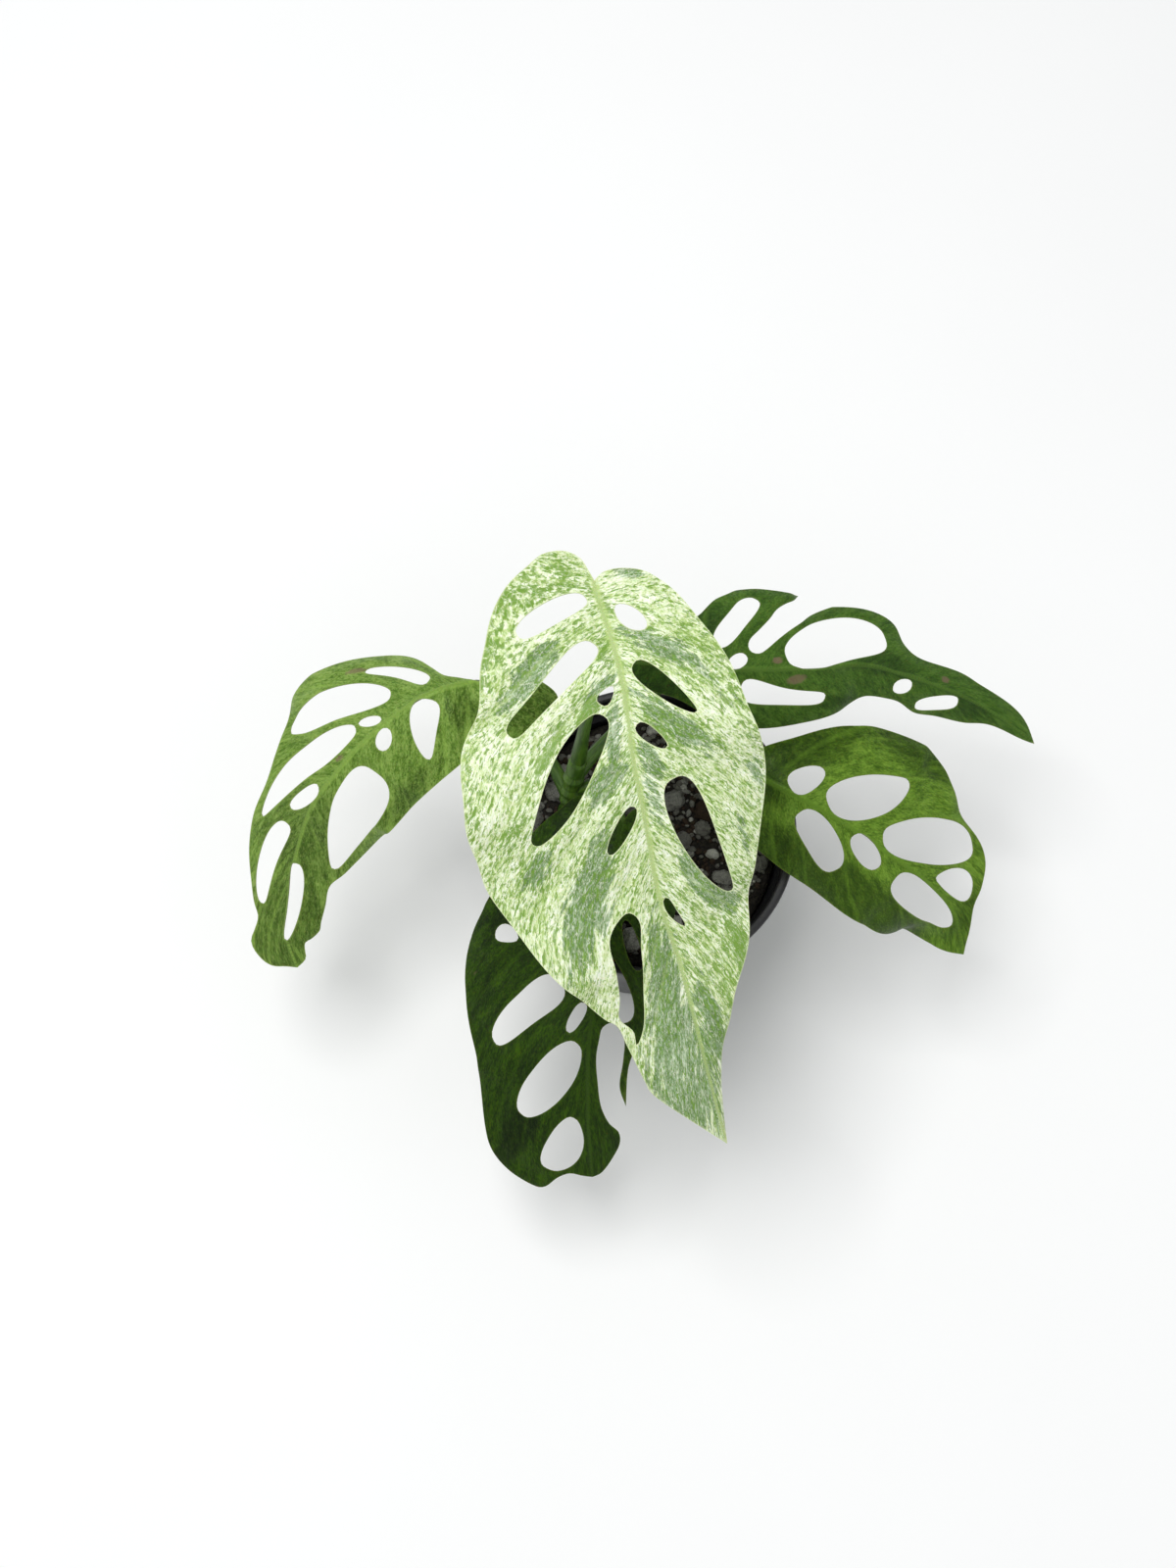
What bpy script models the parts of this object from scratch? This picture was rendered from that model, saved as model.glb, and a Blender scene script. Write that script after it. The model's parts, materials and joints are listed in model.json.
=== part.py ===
"""A variegated monstera adansonii standing in its round nursery pot.

The frame has its origin in the middle of the pot's flat base, with +Z up and
-Y towards the side to which the leaf tips hang. Lengths in the tables are
millimetres and are turned into metres when an object is made.
"""
import math
import random
from dataclasses import dataclass

import bmesh
import bpy
import numpy as np
from mathutils import Vector
from mathutils import noise
from mathutils.bvhtree import BVHTree
from mathutils.geometry import delaunay_2d_cdt

MM = 0.001
GAP = 0.3

# Pot
POT_HEIGHT = 88.0
RIM_RADIUS = 48.0
COLLAR_HEIGHT = 12.5
BASE_RADIUS = 37.5
WALL = 1.6
FLOOR = 2.0
POT_SIDES = 48
DRAIN_COUNT = 8
DRAIN_RADIUS = 3.6
DRAIN_CIRCLE = 26.0
DRAIN_SIDES = 10
CUT_PAST = 1.0

# Potting mix
SOIL_LEVEL = 74.0
SOIL_RELIEF = 1.3
SOIL_SIDES = 30
CHIP_COUNT = 46
CHIP_SIZE = (2.3, 4.3)
CHIP_SEED = 11
SOIL_RINGS = (1.0, 0.84, 0.68, 0.52, 0.36, 0.2)

# Vine stem and leaf stalks
STEM_RADIUS = 3.3
STEM_SIDES = 10
STEM_FOOT = (-25.8, 3.1)
STEM_HOLE_RADIUS = 3.9
STEM_HOLE_FLOOR = 48.0
STEM_HOLE_SIDES = 12
STEM_POINTS = 30
NODE_SWELL = 0.5
NODE_SPREAD = 0.018
STALK_POINTS = 16
STALK_BASE_RADIUS = 2.5
STALK_RADIUS = 1.6
STALK_END_RADIUS = 1.3
STALK_SIDES = 8

# Leaf blades
BLADE_THICKNESS = 0.8
RIB_DEPTH = 0.6
RIB_HALF_WIDTH = 5.7
OUTLINE_STEP = 3.6
HOLE_STEP = 3.2
HOLE_POINTS = 33
HOLE_ROUNDNESS = 3.0
GRID_STEP = 6.6


@dataclass(frozen=True)
class Hole:
    """A long oval hole in a blade, in millimetres along and across it.

    start is its end nearer the midrib. widths are those near its start, at its middle and near its end,
    and bend is how far its middle lies to the left of the straight way from start to end.
    """

    start: tuple
    end: tuple
    widths: tuple
    bend: float = 0.0

    def loop(self, step):
        """Return its closed edge, evenly stepped."""
        t = 0.5 - 0.5 * np.cos(np.linspace(0.0, math.pi, HOLE_POINTS))
        near, middle, far = self.widths
        width = near * (2 * t - 1) * (t - 1) + middle * 4 * t * (1 - t) + far * t * (2 * t - 1)
        half = 0.5 * width * (1.0 - np.abs(2 * t - 1) ** HOLE_ROUNDNESS) ** (1.0 / HOLE_ROUNDNESS)
        start, way = np.array(self.start, float), np.subtract(self.end, self.start).astype(float)
        left = np.array((-way[1], way[0])) / np.linalg.norm(way)
        spine = start + way * t[:, None] + left * (self.bend * 4 * t * (1 - t))[:, None]
        line = np.vstack([spine + left * half[:, None], (spine - left * half[:, None])[-2::-1]])
        return closed_steps(line, step)


@dataclass(frozen=True)
class Slit:
    """A curved slit in a blade, through points along and across it."""

    points: tuple

    def loop(self, step):
        """Return its closed edge, smooth through its points and evenly stepped."""
        p = np.array(self.points, float)
        t = np.linspace(0.0, 1.0, 12, endpoint=False)[:, None]
        runs = []
        for k, b in enumerate(p):
            a, c, d = p[k - 1], p[(k + 1) % len(p)], p[(k + 2) % len(p)]
            runs.append(0.5 * (2 * b + (c - a) * t + (2 * a - 5 * b + 4 * c - d) * t ** 2
                               + (3 * b - a - 3 * c + d) * t ** 3))
        return closed_steps(np.vstack(runs + [p[:1]]), step)


@dataclass(frozen=True)
class Leaf:
    """One leaf: its midrib in space, the set of its two halves and its cut outline.

    path runs from behind the basal lobes, through the stalk's seat (second point), to the tip.
    fold and curl are rows of (share of the length, right half, left half) in degrees.
    left and right are (along the midrib, across) pairs; a repeated pair is a corner.
    """
    name: str
    colour: tuple
    up: tuple
    path: tuple
    fold: tuple
    curl: tuple
    reach: float
    ripple: tuple
    left: tuple
    right: tuple
    holes: tuple
    stalk: tuple
    node_at: float


PALE_LEAF = Leaf(
    name="leaf_pale_top",
    colour=(0.62, 0.74, 0.42),
    up=(0.0, 0.25, 1.0),
    path=((-18.3, 61.1, 173), (-16.8, 45.1, 177), (-12.8, 31.1, 179), (-8.8, 14.6, 177),
          (-6.3, -2.9, 171), (-3.3, -16.9, 164), (1.7, -39.9, 150), (7.7, -55.9, 140),
          (14.7, -79.9, 126), (21.7, -102.9, 112)),
    fold=((-0.1, 8, 8), (0.3, 7, 8), (0.75, 8, 6), (0.9, 8, -35), (1.0, 8, -45)),
    curl=((-0.1, -14, -14), (0.5, -20, -30), (1.0, -10, -10)),
    reach=42.0,
    ripple=(0.8, 47.0, 0.4),
    left=((-3, 0), (-7, -1.5), (-11, -3.5), (-13.5, -8), (-12.5, -14), (-8, -19), (-2, -26), (6, -33),
          (17, -38), (31, -41.5), (44, -47.5), (54, -49), (62, -50), (72, -48.5), (81, -47), (93, -40.5),
          (104, -34.5), (109.5, -31.5), (116, -28.5), (121, -25.5), (123.5, -23), (126, -22),
          (129.5, -21.5), (134.5, -20.5), (142, -19), (147, -17.5), (157, -10), (169.5, 0)),
    right=((-3, 0), (-5.5, 3), (-6, 8), (-4, 14), (1, 18), (14, 24), (27, 30), (39, 33.5), (49, 36.5),
           (62, 37.5), (76, 33.5), (93, 28.5), (110, 23), (125, 13.5), (134, 10), (142, 6.5),
           (155, 3.5), (169.5, 0)),
    holes=(Hole((2.5, -3.5), (9.5, -25.5), (6.5, 6.5, 6.5), -0.5),
           Hole((17, -5.5), (40.5, -33.5), (9.5, 6.5, 7.5), -1.5),
           Hole((30, -3), (34.5, -7.5), (1.5, 3.5, 4.5)),
           Hole((38, -7), (69, -32), (9, 10.5, 6)),
           Hole((64, -2.5), (76, -12), (4, 4.5, 3)),
           Hole((7, 4), (16, 10), (3, 6, 3.5), -0.5),
           Hole((25, 4), (40, 19), (6.5, 5.5, 2.5), -0.5),
           Hole((41.5, 2), (49, 9.5), (4, 4, 2.5)),
           Hole((58.5, 10), (97, 21), (12, 10, 4), -1),
           Hole((92, 1.5), (102.5, 5), (2.5, 2.5, 1), -0.5),
           Slit(((93.5, -12), (98, -17.5), (106, -19), (116, -20), (122, -21.5), (127, -18.5), (131.5, -18.5),
                 (126, -15), (115, -12.5), (104, -10), (97, -7.5), (93.5, -9)))),
    stalk=((-20.3, 20.1, 125), (-17.6, 25.6, 141), (-13.3, 34.1, 156), (-13.8, 41.1, 168)),
    node_at=0.97,
)

LEFT_LEAF = Leaf(
    name="leaf_left",
    colour=(0.22, 0.30, 0.09),
    up=(0.0, -0.1, 1.0),
    path=((-46.3, 39.3, 123), (-53.8, 37.1, 124), (-64.8, 33.1, 127), (-75.8, 27.1, 125),
          (-88.8, 18.1, 119), (-97.8, 10.1, 112), (-103.8, 4.6, 106), (-108.8, -2.9, 98),
          (-112.8, -12.9, 88), (-115.3, -23.9, 80), (-115.8, -33.9, 74), (-113.3, -40.9, 70)),
    fold=((-0.1, -38, -12), (0.1, -34, -12), (0.35, -14, -14), (1.0, -14, -15)),
    curl=((-0.1, -20, -20), (1.0, -20, -20)),
    reach=30.0,
    ripple=(0.7, 39.0, 1.9),
    left=((0, 0), (4, -3), (8, -6), (10, -12), (12.5, -19), (17, -24), (25, -29), (34, -33), (43, -35),
          (51, -35), (57, -33), (62, -27.5), (67, -22.5), (74, -19.5), (84, -19.5), (93, -18),
          (102, -14.5), (107.5, -12.5), (111.5, -10.5), (115, -11.5), (118, -13), (121, -11),
          (124.5, -7.5), (126, -3.5), (127.5, 0)),
    right=((0, 0), (-4.5, 1.5), (-11, 1), (-17, 2.5), (-21, 5.5), (-24, 9.5), (-24, 14),
           (-20.5, 18), (-14.5, 21.5), (-8.5, 23), (-3, 23.5), (9, 23), (25, 24.5),
           (37, 25), (53, 25), (66, 24.5), (81, 22), (92, 17), (98, 12.5), (105.5, 12), (112, 11),
           (116, 10.5), (119.5, 8), (120.5, 5.5), (123, 4.5), (126, 3.5), (127.5, 0)),
    holes=(Hole((13.5, -5.5), (30, -24), (7.5, 5, 4), -1.5),
           Hole((26, -8), (61, -25), (8.5, 12, 7.5), -2.5),
           Hole((40.5, -5.5), (82.5, -16), (7.5, 9.5, 3), -0.5),
           Hole((32, -2), (39, -6.5), (2.5, 3.5, 2)),
           Hole((32, 1.5), (38.5, 5.5), (3, 5, 3.5)),
           Hole((16, 1.5), (28, 17), (11, 8.5, 4), -1),
           Hole((62.5, -1.5), (74.5, -7), (4.5, 5, 3.5), 0.5),
           Hole((79.5, -6), (107.5, -9.5), (8, 7, 5), -2),
           Hole((91, 0.5), (118, -0.5), (5.5, 4.5, 3.5), 2),
           Hole((45.5, 9), (91.5, 13), (18, 14, 5.5), 2)),
    stalk=((-33.8, 25.1, 98), (-42.8, 35.6, 105.5), (-49.3, 37.6, 115)),
    node_at=0.45,
)

UPPER_RIGHT_LEAF = Leaf(
    name="leaf_upper_right",
    colour=(0.09, 0.13, 0.04),
    up=(0.0, 0.0, 1.0),
    path=((3.2, 44.6, 119.5), (15.2, 42.3, 123), (29.2, 40.9, 124), (51.2, 42.4, 121),
          (67.2, 45.7, 115), (82.2, 45.3, 107), (98.2, 43.1, 98), (115.2, 38.1, 88),
          (128.2, 31.6, 79)),
    fold=((-0.1, -42, -6), (1.0, -42, -6)),
    curl=((-0.1, -20, -20), (1.0, -20, -20)),
    reach=30.0,
    ripple=(0.7, 36.0, 0.9),
    left=((0, 0), (-4.5, 0), (-11.5, 2.5), (-18.5, 4.5), (-23, 4), (-24.5, 0.5), (-23.5, -4.5),
          (-20, -8.5), (-14, -10), (-8, -11.5), (-2, -14.5), (3.5, -18), (12.5, -20.5),
          (22.5, -21), (32, -20), (41.5, -18), (48.5, -16), (53.5, -13.5), (59.5, -10.5), (67.5, -9.5),
          (73.5, -9.5), (81.5, -11.5), (90, -10), (100.5, -8), (108.5, -4.5), (120.5, -2), (127, 0)),
    right=((0, 0), (-6, 4), (-9.5, 10), (-7, 16), (-3, 20), (2, 27), (9.5, 31), (20.5, 32.5), (29.5, 31),
           (35, 30), (43, 29.5), (43, 29.5), (37.5, 27), (32, 25), (28, 22.5), (25, 19), (20.5, 14.5),
           (17, 11), (16, 8), (17, 6), (19.5, 5.5), (22, 7), (27.5, 11.5), (33.5, 15.5), (41.5, 19.5),
           (51.5, 23), (51.5, 23), (61.5, 21.5), (68, 18), (71, 11), (77.5, 7.5), (92.5, 8),
           (100.5, 7), (114.5, 6), (121.5, 4), (127, 0)),
    holes=(Hole((4.5, 8), (21.5, 27.5), (8.5, 9.5, 8), 1.5),
           Hole((9.5, 0.5), (15, 5), (3.5, 5, 3.5)),
           Hole((28, 4), (64, 11.5), (12.5, 16.5, 14), 1.5),
           Hole((13.5, -6.5), (41.5, -10.5), (12, 6, 6.5), -1),
           Hole((68.5, -5), (75, -3), (4, 5.5, 4)),
           Hole((80, -9), (94, -2.5), (5, 5.5, 6))),
    stalk=((-12.8, 26.1, 101), (-0.8, 37.1, 104), (9.2, 43.6, 112.5)),
    node_at=0.72,
)

RIGHT_LEAF = Leaf(
    name="leaf_right",
    colour=(0.13, 0.19, 0.03),
    up=(0.0, 0.0, 1.0),
    path=((29.2, 13.6, 109), (34.2, 10.4, 111), (41.7, 6.1, 111), (53.7, 0.1, 109),
          (63.7, -4.9, 105), (74.7, -11.4, 100), (86.2, -17.4, 93), (97.7, -25.9, 82),
          (102.7, -37.4, 70)),
    fold=((-0.1, -28, 0), (1.0, -28, 0)),
    curl=((-0.1, -20, -20), (1.0, -20, -20)),
    reach=30.0,
    ripple=(0.7, 34.0, 2.6),
    left=((0, 0), (-4, -3), (-5.5, -9), (-2, -15.5), (5, -19.5), (13, -22), (24, -24), (42, -24.5),
          (63, -24.5), (76, -21.5), (88, -16.5), (94, -9.5), (96.5, -5), (98, 0)),
    right=((0, 0), (-4, 2), (-6, 6), (-4, 10), (1, 15), (7, 21), (15, 28), (21, 32), (30, 37), (40, 41.5),
           (50, 42.5), (57, 39), (61, 33.5), (66, 27.5), (74, 24.5), (78, 20.5), (81, 13), (84, 6.5),
           (92, 2.5), (98, 0)),
    holes=(Hole((10, 1.5), (17.5, 12), (8.5, 8, 4.5)),
           Hole((23, 2.5), (44, 25), (13, 13, 6.5), -1.5),
           Hole((44, 3), (73.5, 21.5), (11, 14.5, 14), -1),
           Hole((67.5, 3), (80, 9.5), (2.5, 8.5, 11)),
           Hole((55.5, -5.5), (87, -4), (11.5, 10.5, 8), -1),
           Hole((35.5, -1.5), (48.5, -6), (5.5, 7, 5.5)),
           Hole((16.5, -4), (38.5, -14.5), (9.5, 10.5, 9.5), 0.5)),
    stalk=((-8.8, 13.1, 99), (11.2, 15.1, 104), (25.2, 14.1, 106.5)),
    node_at=0.55,
)

FRONT_LEAF = Leaf(
    name="leaf_front",
    colour=(0.05, 0.09, 0.01),
    up=(0.0, 0.1, 1.0),
    path=((-6.8, 6.1, 104), (-8.3, -2.9, 106), (-10.8, -15.9, 106), (-12.8, -30.9, 103),
          (-15.3, -46.4, 98), (-17.3, -59.4, 92), (-18.8, -70.4, 87), (-19, -81.9, 81),
          (-18.8, -93.4, 74), (-17.8, -105.4, 65)),
    fold=((-0.1, -5, -5), (1.0, -5, -5)),
    curl=((-0.1, -20, -20), (1.0, -20, -25)),
    reach=35.0,
    ripple=(0.8, 41.0, 3.3),
    left=((0, 0), (-4, -3), (-7, -9), (-8, -16), (-1, -22), (7, -28), (17, -34), (30, -40), (36, -42),
          (44, -44.5), (55, -45.5), (66, -43), (76, -37.5), (83, -36), (99, -34), (107, -32), (114, -27),
          (119, -19.5), (119.5, -15.5), (116, -11), (114.5, -7), (115.5, -3), (116, 0)),
    right=((0, 0), (-5, 3), (-7, 9), (-4, 15), (4, 19), (14, 21), (24, 21), (38, 20), (53, 19), (66, 16.5),
           (74, 14), (81, 12.5), (92, 12), (92, 12), (85, 10), (77, 11), (69, 11), (64.5, 8.5),
           (63, 6), (65, 3.5), (69, 3), (75.5, 2.5), (83, 3), (91, 4), (97.5, 6.5), (101.5, 9.5),
           (106, 9.5), (111, 6.5), (115, 3), (116, 0)),
    holes=(Hole((42, -27.5), (42.5, -36), (3, 6, 5), -1),
           Hole((53, -11.5), (73.5, -31), (12.5, 10, 7.5)),
           Hole((58, -3), (68, -7), (3.5, 4, 3)),
           Hole((71, -3.5), (95, -21.5), (8, 12.5, 8.5), 0.5),
           Hole((95, -4.5), (113, -14), (6, 11.5, 9), 1.5),
           Hole((42, 2.5), (62.5, 10.5), (1.5, 4, 7.5), 1.5),
           Hole((30.5, 5.5), (45.5, 12.5), (3, 4.5, 4))),
    stalk=((-18.8, 9.1, 93), (-12.8, 6.6, 98), (-9.3, 1.6, 101.3)),
    node_at=0.30,
)

LEAVES = (PALE_LEAF, LEFT_LEAF, UPPER_RIGHT_LEAF, RIGHT_LEAF, FRONT_LEAF)


def curve_through(points, per_span=12):
    """Return a smooth run of points that passes through the given ones."""
    p = np.asarray(points, float)
    if len(p) < 3:
        return p
    p = np.vstack([2 * p[0] - p[1], p, 2 * p[-1] - p[-2]])
    t = np.linspace(0.0, 1.0, per_span, endpoint=False)[:, None]
    runs = []
    for a, b, c, d in zip(p[:-3], p[1:-2], p[2:-1], p[3:]):
        runs.append(0.5 * (2 * b + (c - a) * t + (2 * a - 5 * b + 4 * c - d) * t ** 2
                           + (3 * b - a - 3 * c + d) * t ** 3))
    return np.vstack(runs + [p[-2][None]])


def lengths_along(points):
    """Return how far along the run each of its points lies."""
    steps = np.linalg.norm(np.diff(points, axis=0), axis=1)
    return np.concatenate([[0.0], np.cumsum(steps)])


def evenly(points, count):
    """Return the run again as count points at equal steps."""
    s = lengths_along(points)
    q = np.linspace(0.0, s[-1], count)
    return np.stack([np.interp(q, s, points[:, k]) for k in range(points.shape[1])], axis=-1)


def smooth_side(points, step):
    """Return one side of an outline, smooth between its corners and evenly stepped."""
    runs = [[points[0]]]
    for before, here in zip(points, points[1:]):
        if here == before:
            runs.append([here])
        else:
            runs[-1].append(here)
    out = []
    for run in runs:
        line = curve_through(run)
        count = max(2, round(lengths_along(line)[-1] / step) + 1)
        out.extend(evenly(line, count)[:-1])
    out.append(np.array(points[-1], float))
    return np.array(out)


def outline_loop(leaf, step):
    """Return the closed outline of a leaf, anticlockwise seen from above."""
    left = smooth_side(leaf.left, step)
    right = smooth_side(leaf.right, step)
    return np.vstack([left[:-1], right[::-1][:-1]])


def closed_steps(line, step):
    """Return a closed run of points again, evenly stepped."""
    count = max(9, round(lengths_along(line)[-1] / step))
    return evenly(line, count + 1)[:-1]


def inside(points, loop):
    """Return which points lie inside a closed loop."""
    x, y = points[:, 0][:, None], points[:, 1][:, None]
    a, b = loop, np.roll(loop, -1, axis=0)
    spans = (a[:, 1] > y) != (b[:, 1] > y)
    rise = np.where(b[:, 1] == a[:, 1], 1e-12, b[:, 1] - a[:, 1])
    cross = a[:, 0] + (y - a[:, 1]) * (b[:, 0] - a[:, 0]) / rise
    return (spans & (x < cross)).sum(axis=1) % 2 == 1


class Blade:
    """The curved middle surface of a leaf, from (along, across) to space in millimetres."""

    def __init__(self, leaf):
        self.leaf = leaf
        line = curve_through(leaf.path, 24)
        self.line = evenly(line, 240)
        self.s = lengths_along(self.line)
        self.back = float(lengths_along(line)[24])
        self.length = self.s[-1] - self.back
        t = np.gradient(self.line, self.s, axis=0)
        padded = np.pad(t, ((4, 4), (0, 0)), mode="edge")
        t = np.stack([np.convolve(padded[:, k], np.ones(9) / 9, "valid") for k in range(3)], axis=-1)
        self.t = t / np.linalg.norm(t, axis=1)[:, None]
        up = np.array(leaf.up)
        n = up - self.t * (self.t @ up)[:, None]
        self.n = n / np.linalg.norm(n, axis=1)[:, None]
        self.b = np.cross(self.n, self.t)

    def _along(self, q, rows):
        return np.stack([np.interp(q, self.s, rows[:, k]) for k in range(3)], axis=-1)

    def _angle(self, x, y, table):
        f = x / self.length
        at, right, left = (np.array(column, float) for column in zip(*table))
        return np.radians(np.where(y >= 0, np.interp(f, at, left), np.interp(f, at, right)))

    def point(self, x, y):
        """Return the points of the middle surface."""
        x, y = np.asarray(x, float), np.asarray(y, float)
        q = x + self.back
        beyond = np.where(q > self.s[-1], q - self.s[-1], np.minimum(q, 0.0))[..., None]
        t, n, b = (self._along(q, rows) for rows in (self.t, self.n, self.b))
        centre = self._along(q, self.line) + t * beyond
        fold = self._angle(x, y, self.leaf.fold)
        curl = self._angle(x, y, self.leaf.curl) / self.leaf.reach
        wide = np.abs(y)
        across = (np.sin(fold + curl * wide) - np.sin(fold)) / curl
        rise = (np.cos(fold) - np.cos(fold + curl * wide)) / curl
        height, wave, phase = self.leaf.ripple
        turn = 2 * math.pi * x / wave + phase + 1.3 * (y > 0)
        rise = rise + height * np.sin(turn) * (wide / self.leaf.reach) ** 2
        return centre + b * (np.sign(y) * across)[..., None] + n * rise[..., None]

    def normal(self, x, y, h=0.4):
        """Return the unit normals of the middle surface, on its upper side."""
        dx = self.point(x + h, y) - self.point(x - h, y)
        dy = self.point(x, y + h) - self.point(x, y - h)
        n = np.cross(dx, dy)
        return n / np.linalg.norm(n, axis=-1)[..., None]


def rib_depth(leaf, x, y):
    """Return how far the midrib stands out below the blade."""
    length = leaf.left[-1][0]
    fade = np.clip(1.0 - 0.6 * x / length, 0.0, 1.0) * (x >= -1.0)
    return RIB_DEPTH * fade * np.clip(1.0 - np.abs(y) / RIB_HALF_WIDTH, 0.0, 1.0)


def flat_mesh(leaf):
    """Return the points and triangles of a leaf's outline laid flat, with its holes left open."""
    loops = [outline_loop(leaf, OUTLINE_STEP)] + [hole.loop(HOLE_STEP) for hole in leaf.holes]
    edge_points = np.vstack(loops)
    low, high = loops[0].min(axis=0), loops[0].max(axis=0)
    rows = []
    for k, y in enumerate(np.arange(0.0, max(high[1], -low[1]), GRID_STEP * 0.87)):
        xs = np.arange(low[0] + GRID_STEP * (0.5 * (k % 2)), high[0], GRID_STEP)
        rows.extend((x, side * y) for x in xs for side in ((1, -1) if k else (1,)))
    grid = np.array(rows)
    keep = inside(grid, loops[0])
    for loop in loops[1:]:
        keep &= ~inside(grid, loop)
    clear = np.linalg.norm(grid[:, None] - edge_points[None], axis=2).min(axis=1) > 0.5 * GRID_STEP
    points = np.vstack([edge_points, grid[keep & clear]])
    edges = []
    start = 0
    for loop in loops:
        n = len(loop)
        edges.extend((start + k, start + (k + 1) % n) for k in range(n))
        start += n
    verts, _, faces, *_ = delaunay_2d_cdt([Vector(p) for p in points], edges, [], 0, 1e-6)
    flat = np.array([tuple(v) for v in verts])
    tris = np.array([face for face in faces], int)
    middle = flat[tris].mean(axis=1)
    keep = inside(middle, loops[0])
    for loop in loops[1:]:
        keep &= ~inside(middle, loop)
    tris = tris[keep]
    a, b, c = flat[tris[:, 0]], flat[tris[:, 1]], flat[tris[:, 2]]
    turned = (b[:, 0] - a[:, 0]) * (c[:, 1] - a[:, 1]) - (b[:, 1] - a[:, 1]) * (c[:, 0] - a[:, 0]) < 0
    tris[turned] = tris[turned][:, ::-1]
    used = np.unique(tris)
    order = np.full(len(flat), -1)
    order[used] = np.arange(len(used))
    return flat[used], order[tris]


def blade_faces(leaf, blade, flat):
    """Return the upper and the lower face's points over the flat points of a leaf."""
    x, y = flat[:, 0], flat[:, 1]
    middle, normal = blade.point(x, y), blade.normal(x, y)
    top = middle + normal * (BLADE_THICKNESS / 2)
    under = middle - normal * (BLADE_THICKNESS / 2 + rib_depth(leaf, x, y))[:, None]
    return top, under


def plain_material(name, colour, roughness):
    """Return a material of one colour."""
    material = bpy.data.materials.new(name)
    material.use_nodes = True
    shader = material.node_tree.nodes["Principled BSDF"]
    shader.inputs["Base Color"].default_value = (*colour, 1.0)
    shader.inputs["Roughness"].default_value = roughness
    shader.inputs["Metallic"].default_value = 0.0
    return material


def add_object(name, points, faces, origin, material):
    """Make an object from millimetre points, with its origin at the given point."""
    origin = np.asarray(origin, float)
    mesh = bpy.data.meshes.new(name)
    local = (np.asarray(points, float) - origin) * MM
    mesh.from_pydata(local.tolist(), [], [list(map(int, face)) for face in faces])
    mesh.validate()
    mesh.materials.append(material)
    mesh.shade_smooth()
    mesh.set_sharp_from_angle(angle=math.radians(40))
    obj = bpy.data.objects.new(name, mesh)
    obj.location = Vector(origin * MM)
    bpy.context.scene.collection.objects.link(obj)
    return obj


def join_or_cut(target, others, operation, solver="EXACT"):
    """Apply one Boolean of target with all the others, and remove the others."""
    group = bpy.data.collections.new("operands")
    bpy.context.scene.collection.children.link(group)
    for other in others:
        bpy.context.scene.collection.objects.unlink(other)
        group.objects.link(other)
    modifier = target.modifiers.new(operation.lower(), "BOOLEAN")
    modifier.operation = operation
    modifier.solver = solver
    modifier.operand_type = "COLLECTION"
    modifier.collection = group
    bpy.context.view_layer.update()
    result = bpy.data.meshes.new_from_object(target.evaluated_get(bpy.context.evaluated_depsgraph_get()))
    target.modifiers.clear()
    target.data = result
    for other in others:
        bpy.data.objects.remove(other)
    bpy.data.collections.remove(group)


def turned(profile, sides):
    """Return the closed surface swept by a (radius, height) profile that starts and ends on the axis."""
    points = [(0.0, 0.0, profile[0][1])]
    angles = [2 * math.pi * k / sides for k in range(sides)]
    for radius, height in profile[1:-1]:
        points.extend((radius * math.cos(a), radius * math.sin(a), height) for a in angles)
    points.append((0.0, 0.0, profile[-1][1]))
    rings = len(profile) - 2
    last = len(points) - 1
    faces = [(0, 1 + (k + 1) % sides, 1 + k) for k in range(sides)]
    for ring in range(rings - 1):
        low, high = 1 + ring * sides, 1 + (ring + 1) * sides
        faces.extend((low + k, low + (k + 1) % sides, high + (k + 1) % sides, high + k) for k in range(sides))
    top = 1 + (rings - 1) * sides
    faces.extend((last, top + k, top + (k + 1) % sides) for k in range(sides))
    return points, faces


def tube(path, radii, sides):
    """Return a closed tube round a path, with one radius for each of its points."""
    path = np.asarray(path, float)
    t = np.gradient(path, axis=0)
    t /= np.linalg.norm(t, axis=1)[:, None]
    side = np.cross(t[0], (0.0, 1.0, 0.2))
    points = []
    for centre, ahead, radius in zip(path, t, radii):
        side = side - ahead * (side @ ahead)
        side /= np.linalg.norm(side)
        other = np.cross(ahead, side)
        for k in range(sides):
            a = 2 * math.pi * k / sides
            points.append(centre + radius * (math.cos(a) * side + math.sin(a) * other))
    rings = len(path)
    points.extend([path[0], path[-1]])
    first, last = rings * sides, rings * sides + 1
    faces = []
    for ring in range(rings - 1):
        low, high = ring * sides, (ring + 1) * sides
        faces.extend((low + k, low + (k + 1) % sides, high + (k + 1) % sides, high + k) for k in range(sides))
    top = (rings - 1) * sides
    for k in range(sides):
        faces.append((first, (k + 1) % sides, k))
        faces.append((last, top + k, top + (k + 1) % sides))
    return points, faces


def wall_radius(height):
    """Return the outer radius of the pot's tapered wall."""
    share = height / (POT_HEIGHT - COLLAR_HEIGHT)
    return BASE_RADIUS + (RIM_RADIUS - 3.4 - BASE_RADIUS) * share


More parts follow.
